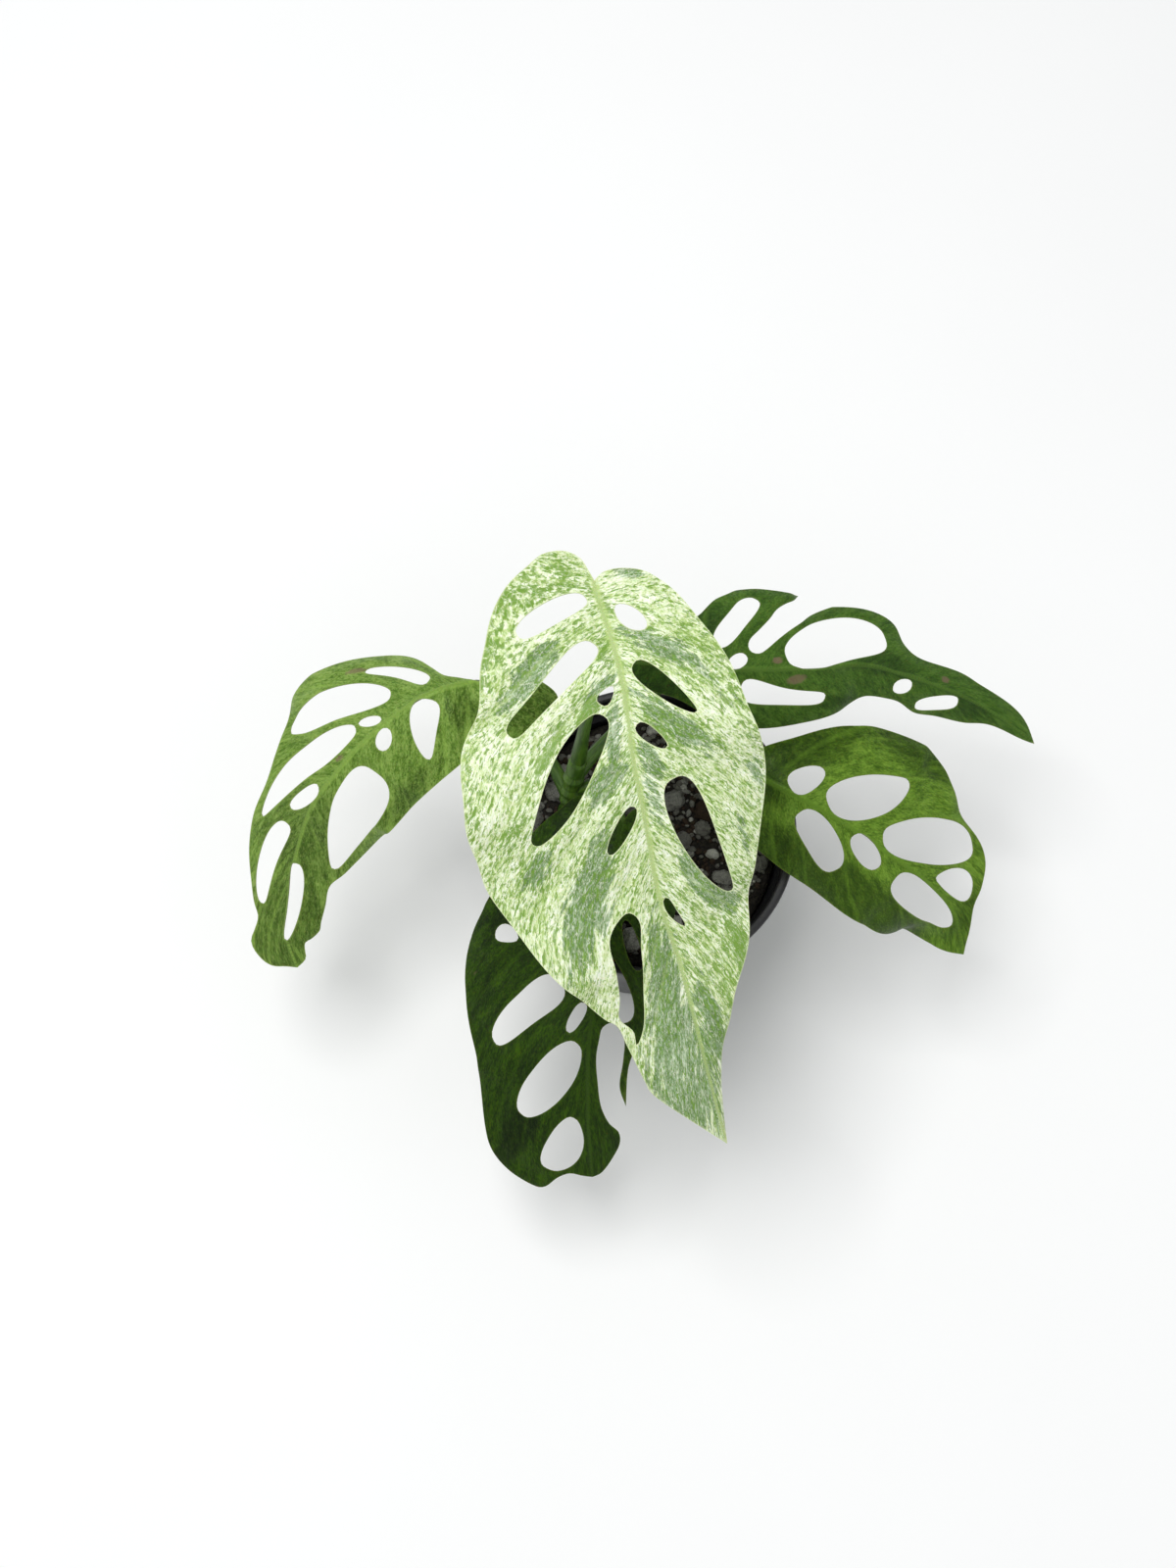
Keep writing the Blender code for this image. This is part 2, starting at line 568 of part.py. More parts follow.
def make_pot():
    """Make the thin tapered pot with its collar, rolled lip and drain holes."""
    foot = POT_HEIGHT - COLLAR_HEIGHT
    profile = [(0.0, 0.0), (BASE_RADIUS - 1.2, 0.0), (wall_radius(1.0), 1.0),
               (wall_radius(foot - 0.6), foot - 0.6), (RIM_RADIUS - 1.3, foot + 0.5),
               (RIM_RADIUS - 0.7, POT_HEIGHT - 2.6), (RIM_RADIUS, POT_HEIGHT - 1.9),
               (RIM_RADIUS, POT_HEIGHT - 0.7), (RIM_RADIUS - 0.7, POT_HEIGHT),
               (RIM_RADIUS - 2.4, POT_HEIGHT), (RIM_RADIUS - 3.0, POT_HEIGHT - 0.8),
               (RIM_RADIUS - 3.2, foot + 2.0), (wall_radius(foot) - WALL, foot),
               (wall_radius(FLOOR) - WALL, FLOOR), (0.0, FLOOR)]
    material = plain_material("black plastic", (0.012, 0.012, 0.014), 0.38)
    pot = add_object("pot", *turned(profile, POT_SIDES), (0, 0, 0), material)
    cutters = []
    for k in range(DRAIN_COUNT):
        a = 2 * math.pi * (k + 0.5) / DRAIN_COUNT
        points, faces = turned([(0, -CUT_PAST), (DRAIN_RADIUS, -CUT_PAST),
                                (DRAIN_RADIUS, FLOOR + CUT_PAST), (0, FLOOR + CUT_PAST)], DRAIN_SIDES)
        shift = np.array([DRAIN_CIRCLE * math.cos(a), DRAIN_CIRCLE * math.sin(a), 0.0])
        cutters.append(add_object(f"drain_cutter_{k}", np.array(points) + shift, faces, (0, 0, 0), material))
    join_or_cut(pot, cutters, "DIFFERENCE")


def soil_height(x, y):
    """Return the uneven level of the potting mix."""
    swells = noise.noise(Vector((x * 0.11, y * 0.11, 3.7)))
    crumbs = noise.noise(Vector((x * 0.29, y * 0.29, 8.1)))
    return SOIL_LEVEL + SOIL_RELIEF * (swells + 0.5 * crumbs)


def chip_mesh(draw, x, y, size):
    """Return one rough lump of pumice or bark, half sunk in the mix."""
    ball = bmesh.new()
    bmesh.ops.create_icosphere(ball, subdivisions=1, radius=1.0)
    stretch = (size * draw.uniform(0.85, 1.25), size * draw.uniform(0.75, 1.0),
               size * draw.uniform(0.6, 0.85))
    spin = draw.uniform(0.0, math.pi)
    points = []
    for vert in ball.verts:
        p = [c * s * draw.uniform(0.86, 1.12) for c, s in zip(vert.co, stretch)]
        points.append((x + p[0] * math.cos(spin) - p[1] * math.sin(spin),
                       y + p[0] * math.sin(spin) + p[1] * math.cos(spin),
                       soil_height(x, y) + 0.2 * size + p[2]))
    faces = [[vert.index for vert in face.verts] for face in ball.faces]
    ball.free()
    return points, faces


def chip_places(draw):
    """Return scattered places for the lumps, clear of each other, of the wall and of the stem."""
    places = []
    while len(places) < CHIP_COUNT:
        size = draw.uniform(*CHIP_SIZE)
        reach = wall_radius(SOIL_LEVEL) - WALL - 1.35 * size - 1.0
        r, a = reach * math.sqrt(draw.random()), draw.uniform(0, 2 * math.pi)
        x, y = r * math.cos(a), r * math.sin(a)
        if math.dist((x, y), STEM_FOOT) < STEM_HOLE_RADIUS + 1.4 * size + 1.0:
            continue
        if all(math.dist((x, y), other[:2]) > 0.72 * (size + other[2]) for other in places):
            places.append((x, y, size))
    return places


def make_soil():
    """Make the potting mix: an uneven disc with lumps on it and a plain hole for the stem."""
    material = plain_material("potting mix", (0.07, 0.055, 0.045), 0.95)
    low = FLOOR + GAP
    high = SOIL_LEVEL - 3.0
    outer = wall_radius(high) - WALL - GAP
    rings = [outer * share for share in SOIL_RINGS]
    profile = [(0.0, low), (wall_radius(low) - WALL - GAP, low), (outer, high), (outer, SOIL_LEVEL - 1.0)]
    profile += [(r, SOIL_LEVEL) for r in rings[1:]] + [(0.0, SOIL_LEVEL)]
    points, faces = turned(profile, SOIL_SIDES)
    first_top = 1 + 3 * SOIL_SIDES
    for k in range(first_top, len(points)):
        x, y, _ = points[k]
        points[k] = (x, y, soil_height(x, y))
    soil = add_object("soil", points, faces, (0, 0, 0), material)
    draw = random.Random(CHIP_SEED)
    chips = []
    for k, (x, y, size) in enumerate(chip_places(draw)):
        chips.append(add_object(f"chip_{k}", *chip_mesh(draw, x, y, size), (0, 0, 0), material))
    join_or_cut(soil, chips, "UNION")
    x, y = STEM_FOOT
    points, faces = turned([(0, STEM_HOLE_FLOOR), (STEM_HOLE_RADIUS, STEM_HOLE_FLOOR),
                            (STEM_HOLE_RADIUS, POT_HEIGHT), (0, POT_HEIGHT)], STEM_HOLE_SIDES)
    cutter = add_object("stem_hole_cutter", np.array(points) + (x, y, 0.0), faces, (0, 0, 0), material)
    join_or_cut(soil, [cutter], "DIFFERENCE")


def stem_line():
    """Return the middle line of the vine, from its foot in the mix to its top."""
    x, y = STEM_FOOT
    path = [(x, y, STEM_HOLE_FLOOR + GAP), (x, y, 60.0), (x, y, 70.0), (x, y, 78.0),
            (x + 0.6, y + 3.0, 86.0), (x + 1.4, y + 7.0, 94.0), (x + 2.6, y + 11.0, 102.0),
            (x + 4.0, y + 14.0, 109.0)]
    return evenly(curve_through(path), STEM_POINTS)


def stem_radii(nodes, count):
    """Return the stem's radii: even, with a swollen ring at each node and a drawn-in top."""
    share = np.linspace(0.0, 1.0, count)
    radii = STEM_RADIUS * (1.0 - 0.12 * share)
    for at in nodes:
        radii = radii + NODE_SWELL * np.exp(-((share - at) / NODE_SPREAD) ** 2)
    return radii * np.clip((1.02 - share) / 0.06, 0.35, 1.0)


def seat_below(leaf, blade):
    """Return where the rounded end of a stalk lies just clear of the underside, between the lobes."""
    flat, tris = flat_mesh(leaf)
    _, under = blade_faces(leaf, blade, flat)
    underside = BVHTree.FromPolygons(under.tolist(), tris.tolist())
    start, normal = blade.point(2.5, 0.0), blade.normal(2.5, 0.0)
    for drop in np.arange(1.0, 6.0, 0.05):
        seat = start - normal * drop
        if underside.find_nearest(Vector(seat))[3] >= STALK_END_RADIUS + GAP:
            break
    return seat


def stalk_mesh(leaf, line):
    """Return one leaf stalk, from inside the stem to its rounded end just below the blade."""
    blade = Blade(leaf)
    s = np.linspace(0.0, 1.0, len(line))
    at = 0.45 + 0.55 * leaf.node_at
    root = np.array([np.interp(at, s, line[:, k]) for k in range(3)])
    path = evenly(curve_through([root, *leaf.stalk, seat_below(leaf, blade)]), STALK_POINTS)
    share = np.linspace(0.0, 1.0, STALK_POINTS)
    radii = STALK_RADIUS + (STALK_BASE_RADIUS - STALK_RADIUS) * np.exp(-(share / 0.22) ** 2)
    radii = radii + 0.25 * np.exp(-((share - 0.9) / 0.05) ** 2)
    radii[-1] = STALK_END_RADIUS
    end = path[-1]
    ahead = end - path[-2]
    ahead /= np.linalg.norm(ahead)
    for angle in (40.0, 75.0):
        a = math.radians(angle)
        path = np.vstack([path, end + ahead * STALK_END_RADIUS * math.sin(a)])
        radii = np.append(radii, STALK_END_RADIUS * math.cos(a))
    return tube(path, radii, STALK_SIDES)


def make_stems():
    """Make the vine and its five leaf stalks, grown together."""
    material = plain_material("stem green", (0.13, 0.20, 0.05), 0.45)
    line = stem_line()
    x, y = STEM_FOOT
    nodes = [0.45 + 0.55 * leaf.node_at for leaf in LEAVES]
    vine = tube(line, stem_radii(nodes, len(line)), STEM_SIDES)
    stems = add_object("stems", *vine, (x, y, SOIL_LEVEL), material)
    stalks = []
    for leaf in LEAVES:
        stalks.append(add_object(f"stalk_{leaf.name}", *stalk_mesh(leaf, line), (0, 0, 0), material))
    join_or_cut(stems, stalks, "UNION")


def make_leaf(leaf):
    """Make one thin leaf blade with its holes, split into the same triangles on both faces."""
    blade = Blade(leaf)
    flat, tris = flat_mesh(leaf)
    top, under = blade_faces(leaf, blade, flat)
    n = len(flat)
    directed = {(a, b) for tri in tris.tolist() for a, b in zip(tri, tri[1:] + tri[:1])}
    rim = [(a, b) for a, b in directed if (b, a) not in directed]
    faces = tris.tolist() + (tris[:, ::-1] + n).tolist()
    for a, b in sorted(rim):
        faces.append((a, a + n, b + n))
        faces.append((a, b + n, b))
    material = plain_material(f"{leaf.name} green", leaf.colour, 0.4)
    add_object(leaf.name, np.vstack([top, under]), faces, blade.point(0.0, 0.0), material)


def main():
    """Build the plant and its pot."""
    for old in list(bpy.data.objects):
        bpy.data.objects.remove(old)
    make_pot()
    make_soil()
    make_stems()
    for leaf in LEAVES:
        make_leaf(leaf)


main()
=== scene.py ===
"""The dressed scene of a variegated monstera adansonii in its round nursery pot.

Each leaf, the stems, the potting mix and the pot are rebuilt here as finer pieces that keep the
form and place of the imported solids, and get procedural materials. Sizes are in millimetres.
"""
import json
import logging
import math
import random
from dataclasses import dataclass
from enum import Enum

import bmesh
import bpy
import numpy as np
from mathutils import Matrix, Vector, noise
from mathutils.geometry import delaunay_2d_cdt

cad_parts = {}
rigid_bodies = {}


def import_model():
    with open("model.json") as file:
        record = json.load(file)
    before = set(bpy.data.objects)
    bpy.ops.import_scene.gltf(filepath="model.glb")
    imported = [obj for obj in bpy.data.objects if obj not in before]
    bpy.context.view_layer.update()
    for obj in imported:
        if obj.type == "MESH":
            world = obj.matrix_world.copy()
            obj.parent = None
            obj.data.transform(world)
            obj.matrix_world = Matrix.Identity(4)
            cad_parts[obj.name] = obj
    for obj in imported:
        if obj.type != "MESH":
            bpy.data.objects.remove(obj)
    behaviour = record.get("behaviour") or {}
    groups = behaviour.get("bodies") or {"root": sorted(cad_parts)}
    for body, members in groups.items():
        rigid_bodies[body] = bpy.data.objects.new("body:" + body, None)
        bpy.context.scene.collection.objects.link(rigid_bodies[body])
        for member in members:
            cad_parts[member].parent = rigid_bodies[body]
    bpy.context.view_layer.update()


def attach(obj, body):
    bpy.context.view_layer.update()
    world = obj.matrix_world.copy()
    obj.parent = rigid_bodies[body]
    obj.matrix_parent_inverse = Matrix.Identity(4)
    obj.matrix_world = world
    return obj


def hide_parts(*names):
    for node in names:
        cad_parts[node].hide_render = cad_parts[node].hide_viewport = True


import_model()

logging.basicConfig(level=logging.INFO, format="%(name)s: %(message)s")
LOG = logging.getLogger("monstera")

MM = 0.001
GAP = 0.3
Pair = tuple[float, float]
Triple = tuple[float, float, float]
Socket = bpy.types.NodeSocket
Value = Socket | float | tuple

# Smooth runs: steps between two points, and points and smoothing of a midrib
SPAN_STEPS = 12
MIDRIB_STEPS = 24
MIDRIB_POINTS = 240
SMOOTHING = 9

# Fine mesh of a blade, and how far the ripples of its halves are out of step
EDGE_STEP = 1.2
FINE_EDGE_STEP = 0.4
GRID_STEP = 1.2
ROW_SHARE = 0.87
RIB_ROWS = (0.0, 0.5, 1.05, 1.7, 2.5)
HOLE_POINTS = 33
HOLE_ROUNDNESS = 3.0
RIPPLE_SHIFT = 1.3

# Following the veins back to the midrib, and how much they bend forward out to a distance from it
TRACE_STEP = 1.2
TRACE_COUNT = 110
VEIN_BEND = 0.14
VEIN_BEND_REACH = 30.0

# Longest side of the smallest hole with main veins beside it, and main veins where a side has no such hole
MAIN_HOLE = 10.0
PLAIN_VEINS = (4.0, 80.0, 9.0)

# Pattern on a blade: how far it is drawn out along the veins, from most to least, and its lanes
DRAWN_OUT = (0.13, 0.3, 0.5)
LANE_GAP = 41.0
CORE_INSET = 0.06
PATCH_FALL = 0.8
SCAR_COLOUR = (116, 96, 78)


class Side(Enum):
    """Which face of a blade a point lies on."""

    UPPER = 1.0
    UNDER = 0.0


class LumpKind(Enum):
    """What a lump in the potting mix is made of; its points carry the number."""

    PUMICE = 1.0
    BARK = 2.0
    PERLITE = 3.0


class Tone(Enum):
    """Which marking a patch on a blade carries; on the green leaves the deep tone also paints shade."""

    DEEP = 0
    GREEN = 1
    SCAR = 2


@dataclass(frozen=True)
class Patch:
    """An oval marking, some of them painted shade, in leaf coordinates (millimetres along and across, turn in
    degrees).
    """

    tone: Tone
    along: float
    across: float
    length: float
    width: float
    turn: float
    strength: float = 1.0


@dataclass(frozen=True)
class Hole:
    """A long oval hole in a blade, in millimetres along and across it.

    start is the end it is drawn from. widths are those near its start, at its middle and near its end.
    bend is how far its middle lies off the straight way to its end; in a hole along the midrib it points
    away from the left half.
    """

    start: Pair
    end: Pair
    widths: Triple
    bend: float = 0.0

    def loop(self, step: float) -> np.ndarray:
        """Return the closed edge of the hole.

        Args:
            step: Distance between its points.

        Returns:
            The points of the edge, evenly stepped.
        """
        t = 0.5 - 0.5 * np.cos(np.linspace(0.0, math.pi, HOLE_POINTS))
        near, middle, far = self.widths
        width = near * (2 * t - 1) * (t - 1) + middle * 4 * t * (1 - t) + far * t * (2 * t - 1)
        half = 0.5 * width * (1.0 - np.abs(2 * t - 1) ** HOLE_ROUNDNESS) ** (1.0 / HOLE_ROUNDNESS)
        start, way = np.array(self.start, float), np.subtract(self.end, self.start).astype(float)
        left = np.array((-way[1], way[0])) / np.linalg.norm(way)
        spine = start + way * t[:, None] + left * (self.bend * 4 * t * (1 - t))[:, None]
        line = np.vstack([spine + left * half[:, None], (spine - left * half[:, None])[-2::-1]])
        return closed_steps(line, step)


@dataclass(frozen=True)
class Slit:
    """A curved slit in a blade, through points along and across it."""

    points: tuple[Pair, ...]

    def loop(self, step: float) -> np.ndarray:
        """Return the closed edge of the slit.

        Args:
            step: Distance between its points.

        Returns:
            The points of the edge, smooth through the slit's own and evenly stepped.
        """
        p = np.array(self.points, float)
        t = np.linspace(0.0, 1.0, SPAN_STEPS, endpoint=False)[:, None]
        runs = [span(p[k - 1], p[k], p[(k + 1) % len(p)], p[(k + 2) % len(p)], t) for k in range(len(p))]
        return closed_steps(np.vstack(runs + [p[:1]]), step)


@dataclass(frozen=True)
class Leaf:
    """One leaf: its midrib in space, the set of its halves, its cut outline and its stalk.

    path runs from behind the basal lobes, through the stalk's seat (second point), to the tip.
    fold and curl are rows of (share of the length, left half, right half) in degrees.
    left and right are (along the midrib, across) pairs; a repeated pair is a corner. Seen with the tip
    downwards, as the pale leaf hangs in the photograph, the left half is on the left.
    ripple is the height, wave length and phase of the margin's waves, reached at reach from the midrib.
    node_at says how far up the stem's upper part the stalk leaves it.
    """

    name: str
    up: Triple
    path: tuple[Triple, ...]
    fold: tuple[Triple, ...]
    curl: tuple[Triple, ...]
    reach: float
    ripple: Triple
    left: tuple[Pair, ...]
    right: tuple[Pair, ...]
    holes: tuple
    stalk: tuple[Triple, ...]
    node_at: float


PALE_LEAF = Leaf(
    name="leaf_pale_top",
    up=(0.0, 0.25, 1.0),
    path=((-18.3, 61.1, 173), (-16.8, 45.1, 177), (-12.8, 31.1, 179), (-8.8, 14.6, 177),
          (-6.3, -2.9, 171), (-3.3, -16.9, 164), (1.7, -39.9, 150), (7.7, -55.9, 140),
          (14.7, -79.9, 126), (21.7, -102.9, 112)),
    fold=((-0.1, 8, 8), (0.3, 7, 8), (0.75, 8, 6), (0.9, 8, -35), (1.0, 8, -45)),
    curl=((-0.1, -14, -14), (0.5, -20, -30), (1.0, -10, -10)),
    reach=42.0,
    ripple=(0.8, 47.0, 0.4),
    left=((-3, 0), (-7, -1.5), (-11, -3.5), (-13.5, -8), (-12.5, -14), (-8, -19), (-2, -26), (6, -33),
          (17, -38), (31, -41.5), (44, -47.5), (54, -49), (62, -50), (72, -48.5), (81, -47), (93, -40.5),
          (104, -34.5), (109.5, -31.5), (116, -28.5), (121, -25.5), (123.5, -23), (126, -22),
          (129.5, -21.5), (134.5, -20.5), (142, -19), (147, -17.5), (157, -10), (169.5, 0)),
    right=((-3, 0), (-5.5, 3), (-6, 8), (-4, 14), (1, 18), (14, 24), (27, 30), (39, 33.5), (49, 36.5),
           (62, 37.5), (76, 33.5), (93, 28.5), (110, 23), (125, 13.5), (134, 10), (142, 6.5),
           (155, 3.5), (169.5, 0)),
    holes=(Hole((2.5, -3.5), (9.5, -25.5), (6.5, 6.5, 6.5), -0.5),
           Hole((17, -5.5), (40.5, -33.5), (9.5, 6.5, 7.5), -1.5),
           Hole((30, -3), (34.5, -7.5), (1.5, 3.5, 4.5)),
           Hole((38, -7), (69, -32), (9, 10.5, 6)),
           Hole((64, -2.5), (76, -12), (4, 4.5, 3)),
           Hole((7, 4), (16, 10), (3, 6, 3.5), -0.5),
           Hole((25, 4), (40, 19), (6.5, 5.5, 2.5), -0.5),
           Hole((41.5, 2), (49, 9.5), (4, 4, 2.5)),
           Hole((58.5, 10), (97, 21), (12, 10, 4), -1),
           Hole((92, 1.5), (102.5, 5), (2.5, 2.5, 1), -0.5),
           Slit(((93.5, -12), (98, -17.5), (106, -19), (116, -20), (122, -21.5), (127, -18.5), (131.5, -18.5),
                 (126, -15), (115, -12.5), (104, -10), (97, -7.5), (93.5, -9)))),
    stalk=((-20.3, 20.1, 125), (-17.6, 25.6, 141), (-13.3, 34.1, 156), (-13.8, 41.1, 168)),
    node_at=0.97,
)

LEFT_LEAF = Leaf(
    name="leaf_left",
    up=(0.0, -0.1, 1.0),
    path=((-46.3, 39.3, 123), (-53.8, 37.1, 124), (-64.8, 33.1, 127), (-75.8, 27.1, 125),
          (-88.8, 18.1, 119), (-97.8, 10.1, 112), (-103.8, 4.6, 106), (-108.8, -2.9, 98),
          (-112.8, -12.9, 88), (-115.3, -23.9, 80), (-115.8, -33.9, 74), (-113.3, -40.9, 70)),
    fold=((-0.1, -38, -12), (0.1, -34, -12), (0.35, -14, -14), (1.0, -14, -15)),
    curl=((-0.1, -20, -20), (1.0, -20, -20)),
    reach=30.0,
    ripple=(0.7, 39.0, 1.9),
    left=((0, 0), (4, -3), (8, -6), (10, -12), (12.5, -19), (17, -24), (25, -29), (34, -33), (43, -35),
          (51, -35), (57, -33), (62, -27.5), (67, -22.5), (74, -19.5), (84, -19.5), (93, -18),
          (102, -14.5), (107.5, -12.5), (111.5, -10.5), (115, -11.5), (118, -13), (121, -11),
          (124.5, -7.5), (126, -3.5), (127.5, 0)),
    right=((0, 0), (-4.5, 1.5), (-11, 1), (-17, 2.5), (-21, 5.5), (-24, 9.5), (-24, 14),
           (-20.5, 18), (-14.5, 21.5), (-8.5, 23), (-3, 23.5), (9, 23), (25, 24.5),
           (37, 25), (53, 25), (66, 24.5), (81, 22), (92, 17), (98, 12.5), (105.5, 12), (112, 11),
           (116, 10.5), (119.5, 8), (120.5, 5.5), (123, 4.5), (126, 3.5), (127.5, 0)),
    holes=(Hole((13.5, -5.5), (30, -24), (7.5, 5, 4), -1.5),
           Hole((26, -8), (61, -25), (8.5, 12, 7.5), -2.5),
           Hole((40.5, -5.5), (82.5, -16), (7.5, 9.5, 3), -0.5),
           Hole((32, -2), (39, -6.5), (2.5, 3.5, 2)),
           Hole((32, 1.5), (38.5, 5.5), (3, 5, 3.5)),
           Hole((16, 1.5), (28, 17), (11, 8.5, 4), -1),
           Hole((62.5, -1.5), (74.5, -7), (4.5, 5, 3.5), 0.5),
           Hole((79.5, -6), (107.5, -9.5), (8, 7, 5), -2),
           Hole((91, 0.5), (118, -0.5), (5.5, 4.5, 3.5), 2),
           Hole((45.5, 9), (91.5, 13), (18, 14, 5.5), 2)),
    stalk=((-33.8, 25.1, 98), (-42.8, 35.6, 105.5), (-49.3, 37.6, 115)),
    node_at=0.45,
)

UPPER_RIGHT_LEAF = Leaf(
    name="leaf_upper_right",
    up=(0.0, 0.0, 1.0),
    path=((3.2, 44.6, 119.5), (15.2, 42.3, 123), (29.2, 40.9, 124), (51.2, 42.4, 121),
          (67.2, 45.7, 115), (82.2, 45.3, 107), (98.2, 43.1, 98), (115.2, 38.1, 88),
          (128.2, 31.6, 79)),
    fold=((-0.1, -42, -6), (1.0, -42, -6)),
    curl=((-0.1, -20, -20), (1.0, -20, -20)),
    reach=30.0,
    ripple=(0.7, 36.0, 0.9),
    left=((0, 0), (-4.5, 0), (-11.5, 2.5), (-18.5, 4.5), (-23, 4), (-24.5, 0.5), (-23.5, -4.5),
          (-20, -8.5), (-14, -10), (-8, -11.5), (-2, -14.5), (3.5, -18), (12.5, -20.5),
          (22.5, -21), (32, -20), (41.5, -18), (48.5, -16), (53.5, -13.5), (59.5, -10.5), (67.5, -9.5),
          (73.5, -9.5), (81.5, -11.5), (90, -10), (100.5, -8), (108.5, -4.5), (120.5, -2), (127, 0)),
    right=((0, 0), (-6, 4), (-9.5, 10), (-7, 16), (-3, 20), (2, 27), (9.5, 31), (20.5, 32.5), (29.5, 31),
           (35, 30), (43, 29.5), (43, 29.5), (37.5, 27), (32, 25), (28, 22.5), (25, 19), (20.5, 14.5),
           (17, 11), (16, 8), (17, 6), (19.5, 5.5), (22, 7), (27.5, 11.5), (33.5, 15.5), (41.5, 19.5),
           (51.5, 23), (51.5, 23), (61.5, 21.5), (68, 18), (71, 11), (77.5, 7.5), (92.5, 8),
           (100.5, 7), (114.5, 6), (121.5, 4), (127, 0)),
    holes=(Hole((4.5, 8), (21.5, 27.5), (8.5, 9.5, 8), 1.5),
           Hole((9.5, 0.5), (15, 5), (3.5, 5, 3.5)),
           Hole((28, 4), (64, 11.5), (12.5, 16.5, 14), 1.5),
           Hole((13.5, -6.5), (41.5, -10.5), (12, 6, 6.5), -1),
           Hole((68.5, -5), (75, -3), (4, 5.5, 4)),
           Hole((80, -9), (94, -2.5), (5, 5.5, 6))),
    stalk=((-12.8, 26.1, 101), (-0.8, 37.1, 104), (9.2, 43.6, 112.5)),
    node_at=0.72,
)

RIGHT_LEAF = Leaf(
    name="leaf_right",
    up=(0.0, 0.0, 1.0),
    path=((29.2, 13.6, 109), (34.2, 10.4, 111), (41.7, 6.1, 111), (53.7, 0.1, 109),
          (63.7, -4.9, 105), (74.7, -11.4, 100), (86.2, -17.4, 93), (97.7, -25.9, 82),
          (102.7, -37.4, 70)),
    fold=((-0.1, -28, 0), (1.0, -28, 0)),
    curl=((-0.1, -20, -20), (1.0, -20, -20)),
    reach=30.0,
    ripple=(0.7, 34.0, 2.6),
    left=((0, 0), (-4, -3), (-5.5, -9), (-2, -15.5), (5, -19.5), (13, -22), (24, -24), (42, -24.5),
          (63, -24.5), (76, -21.5), (88, -16.5), (94, -9.5), (96.5, -5), (98, 0)),
    right=((0, 0), (-4, 2), (-6, 6), (-4, 10), (1, 15), (7, 21), (15, 28), (21, 32), (30, 37), (40, 41.5),
           (50, 42.5), (57, 39), (61, 33.5), (66, 27.5), (74, 24.5), (78, 20.5), (81, 13), (84, 6.5),
           (92, 2.5), (98, 0)),
    holes=(Hole((10, 1.5), (17.5, 12), (8.5, 8, 4.5)),
           Hole((23, 2.5), (44, 25), (13, 13, 6.5), -1.5),
           Hole((44, 3), (73.5, 21.5), (11, 14.5, 14), -1),
           Hole((67.5, 3), (80, 9.5), (2.5, 8.5, 11)),
           Hole((55.5, -5.5), (87, -4), (11.5, 10.5, 8), -1),
           Hole((35.5, -1.5), (48.5, -6), (5.5, 7, 5.5)),
           Hole((16.5, -4), (38.5, -14.5), (9.5, 10.5, 9.5), 0.5)),
    stalk=((-8.8, 13.1, 99), (11.2, 15.1, 104), (25.2, 14.1, 106.5)),
    node_at=0.55,
)

FRONT_LEAF = Leaf(
    name="leaf_front",
    up=(0.0, 0.1, 1.0),
    path=((-6.8, 6.1, 104), (-8.3, -2.9, 106), (-10.8, -15.9, 106), (-12.8, -30.9, 103),
          (-15.3, -46.4, 98), (-17.3, -59.4, 92), (-18.8, -70.4, 87), (-19, -81.9, 81),
          (-18.8, -93.4, 74), (-17.8, -105.4, 65)),
    fold=((-0.1, -5, -5), (1.0, -5, -5)),
    curl=((-0.1, -20, -20), (1.0, -20, -25)),
    reach=35.0,
    ripple=(0.8, 41.0, 3.3),
    left=((0, 0), (-4, -3), (-7, -9), (-8, -16), (-1, -22), (7, -28), (17, -34), (30, -40), (36, -42),
          (44, -44.5), (55, -45.5), (66, -43), (76, -37.5), (83, -36), (99, -34), (107, -32), (114, -27),
          (119, -19.5), (119.5, -15.5), (116, -11), (114.5, -7), (115.5, -3), (116, 0)),
    right=((0, 0), (-5, 3), (-7, 9), (-4, 15), (4, 19), (14, 21), (24, 21), (38, 20), (53, 19), (66, 16.5),
           (74, 14), (81, 12.5), (92, 12), (92, 12), (85, 10), (77, 11), (69, 11), (64.5, 8.5),
           (63, 6), (65, 3.5), (69, 3), (75.5, 2.5), (83, 3), (91, 4), (97.5, 6.5), (101.5, 9.5),
           (106, 9.5), (111, 6.5), (115, 3), (116, 0)),
    holes=(Hole((42, -27.5), (42.5, -36), (3, 6, 5), -1),
           Hole((53, -11.5), (73.5, -31), (12.5, 10, 7.5)),
           Hole((58, -3), (68, -7), (3.5, 4, 3)),
           Hole((71, -3.5), (95, -21.5), (8, 12.5, 8.5), 0.5),
           Hole((95, -4.5), (113, -14), (6, 11.5, 9), 1.5),
           Hole((42, 2.5), (62.5, 10.5), (1.5, 4, 7.5), 1.5),
           Hole((30.5, 5.5), (45.5, 12.5), (3, 4.5, 4))),
    stalk=((-18.8, 9.1, 93), (-12.8, 6.6, 98), (-9.3, 1.6, 101.3)),
    node_at=0.30,
)

LEAVES = (PALE_LEAF, LEFT_LEAF, UPPER_RIGHT_LEAF, RIGHT_LEAF, FRONT_LEAF)


def marks(tone: Tone, *rows: tuple[float, ...]) -> tuple[Patch, ...]:
    """Return patches of one tone from rows of (along, across, length, width, turn, strength)."""
    return tuple(Patch(tone, *row) for row in rows)


